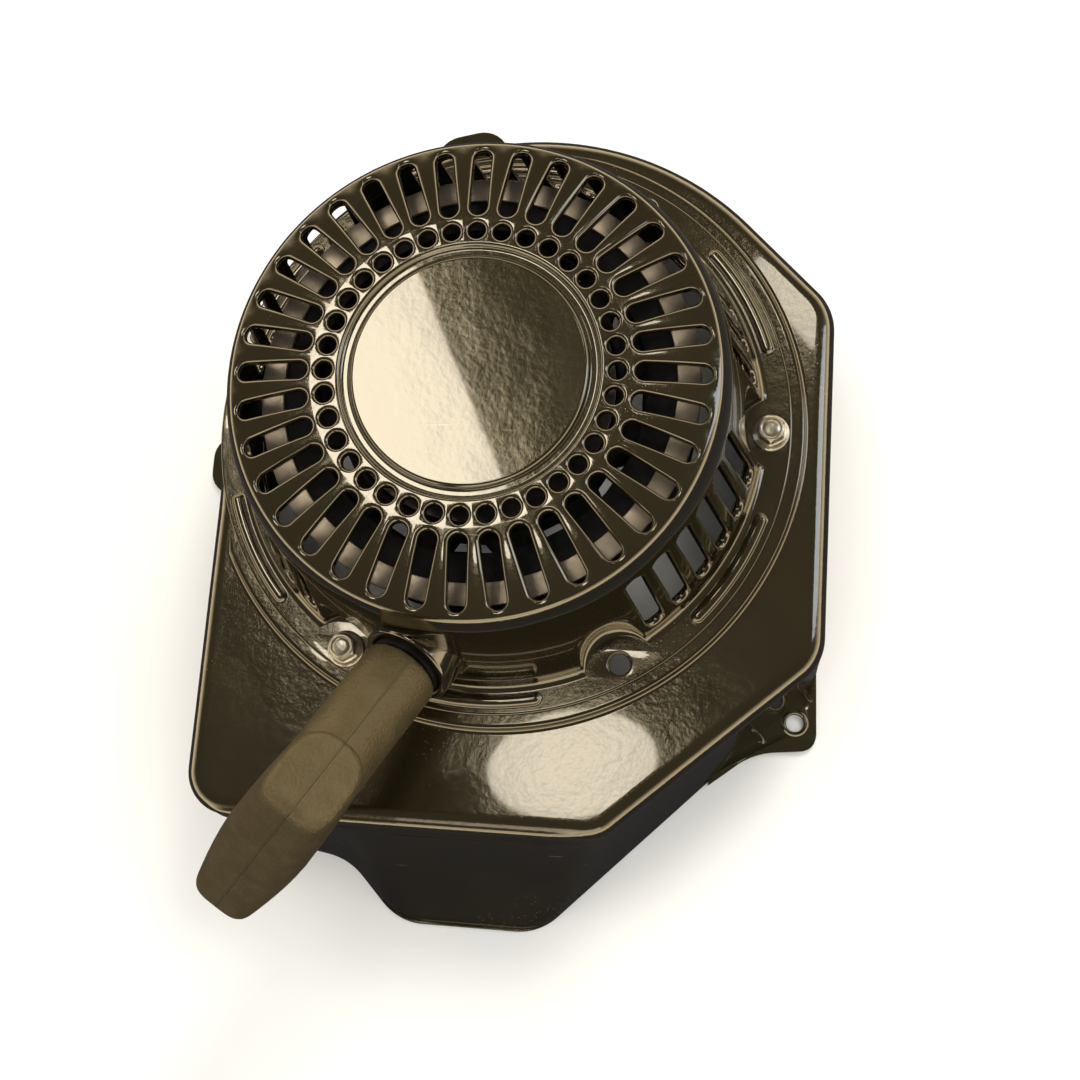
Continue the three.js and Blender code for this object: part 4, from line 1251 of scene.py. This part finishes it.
wound = []
for t in np.arange(0, 3.02, 1 / 72):
    across, out = smoothstep(t, 0.9, 1.1), smoothstep(t, 1.9, 2.1)  # to the next turn, to the next layer
    wound.append(polar(57.9 + 4.7 * out, -360 * t, 96.7 + 5.4 * across - 0.1 * out))
coil = rope_piece("rope_wound", smooth_path(wound, 3.0), 2.4, 12)
fitted(coil, "rope", "reel", "rope_coil")
lead = [polar(63.2, a, 89.9) for a in (-30, -40, -50, -60)]
lead += [(14.5, -64.2, 89.9), (2.5, -70.3, 89.7), (-7.2, -75, 88.9)]
lead += [tuple(OUTLET + PULL * d) for d in (-13, -9, -4, 0, 8, 16, 24, 32, 40, 48, 55)]
knot = [tuple(OUTLET + PULL * d) for d in (58.5, 60.5, 63, 66, 68.5, 69.5)]
knot_radii = (3.2, 5.4, 6.1, 5.9, 3.8, 1.0)
line = np.vstack([smooth_path(lead, 1.5), knot])
radii = np.r_[np.full(len(line) - len(knot), 2.45), knot_radii]
rope_lead = rope_piece("rope_lead", line, radii, 16)
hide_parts("rope_run", "rope_tail")
placed(OUTLET - PULL * 6)[0]
placed(OUTLET + PULL * 50)[0]
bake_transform(rope_lead)

# %% [markdown]
# ## Stage and light
# The part lies on a plain pale floor. Gloss shows what surrounds it, so the lights are few and
# placed by reflection: a soft panel up and to the left fills most of the disc, a small one
# shines on the cover below it, and one behind runs along the far corner. The key light behind
# reaches matt surfaces only. Everything else that the enamel could mirror is kept dim.

# %% Floor, lights and surroundings
def stage_material(name, seen, mirrored):
    """Pale to the eye, darker where a glossy surface mirrors it, and clear from below."""
    made, tree, shader, _ = start_material(name, seen, 0.9, Specular_IOR_Level=0.0)
    path = tree.nodes.new("ShaderNodeLightPath").outputs
    away = between(tree, path["Is Glossy Ray"], (0.16, 0.152, 0.135), mirrored)
    tree.links.new(between(tree, path["Is Camera Ray"], away, seen), shader.inputs["Base Color"])
    below = tree.nodes.new("ShaderNodeNewGeometry").outputs["Backfacing"]
    tree.links.new(math_node(tree, "SUBTRACT", 1.0, below), shader.inputs["Alpha"])
    return made


floor_mesh = bpy.data.meshes.new("floor")
floor_z, reach = -FACE_Z * MM - 0.0002, 6.0
corners = [(x * reach, y * reach, floor_z) for x, y in ((-1, -1), (1, -1), (1, 1), (-1, 1))]
floor_mesh.from_pydata(corners, [], [(0, 1, 2, 3)])
floor_mesh.materials.append(stage_material("floor_paint", (0.86, 0.86, 0.85), (0.045, 0.045, 0.05)))
floor = bpy.data.objects.new("floor", floor_mesh)
bpy.context.scene.collection.objects.link(floor)


def panel(name, at, size, strength, turn=0.0, aim=None, colour=(1, 0.9, 0.72)):
    """A soft light panel; strength is its brightness where it is mirrored."""
    light = bpy.data.lights.new(name, "AREA")
    light.shape, light.size, light.size_y = "RECTANGLE", *size
    light.energy = strength * math.pi * size[0] * size[1]
    light.color = colour
    made = bpy.data.objects.new(name, light)
    made.location = at
    made.rotation_mode = "QUATERNION"
    if aim:
        made.rotation_quaternion = (Vector(aim) - Vector(at)).to_track_quat("-Z", "Y")
    else:
        made.rotation_quaternion = Matrix.Rotation(math.radians(turn), 3, "Z").to_quaternion()
    bpy.context.scene.collection.objects.link(made)
    return made


panel("disc_panel", (-0.385, 0.335, 1.2), (0.27, 0.52), 6.2, 26)
panel("cover_panel", (-0.11, -0.06, 1.2), (0.21, 0.13), 4.5, 12).data.shape = "ELLIPSE"
panel("corner_panel", (0.17, 0.58, 1.2), (0.14, 0.14), 5.0, 40)
panel("side_panel", (1.0, 0.3, 0.8), (0.4, 0.7), 2.5, aim=(0, 0, 0), colour=(0.85, 0.92, 1.0))
key = panel("matt_key", (0.5, 0.95, 1.15), (0.5, 0.5), 17.0, aim=(0, 0, 0), colour=(1, 0.93, 0.8))
key.visible_glossy = False
panel("front_panel", (0.1, -1.3, 0.6), (0.9, 0.35), 1.2, aim=(0, 0, 0), colour=(1, 0.88, 0.66))

world = bpy.data.worlds.new("studio")
world.use_nodes = True
bpy.context.scene.world = world
tree = world.node_tree
sky = tree.nodes["Background"]
glossy = tree.nodes.new("ShaderNodeLightPath").outputs["Is Glossy Ray"]
toward = node(tree, "ShaderNodeSeparateXYZ", Vector=tree.nodes.new("ShaderNodeTexCoord").outputs["Generated"])
low_glow = between(tree, ramp(tree, toward.outputs[2], 0.12, 0.62), (2.3, 1.9, 1.25), (0.105, 0.088, 0.052))
overhead = between(tree, ramp(tree, toward.outputs[2], 0.0, 0.8), (0.25, 0.25, 0.26), (1.1, 1.08, 1.04))
tree.links.new(between(tree, glossy, overhead, low_glow), sky.inputs["Color"])
bpy.context.scene.view_settings.view_transform = "Standard"
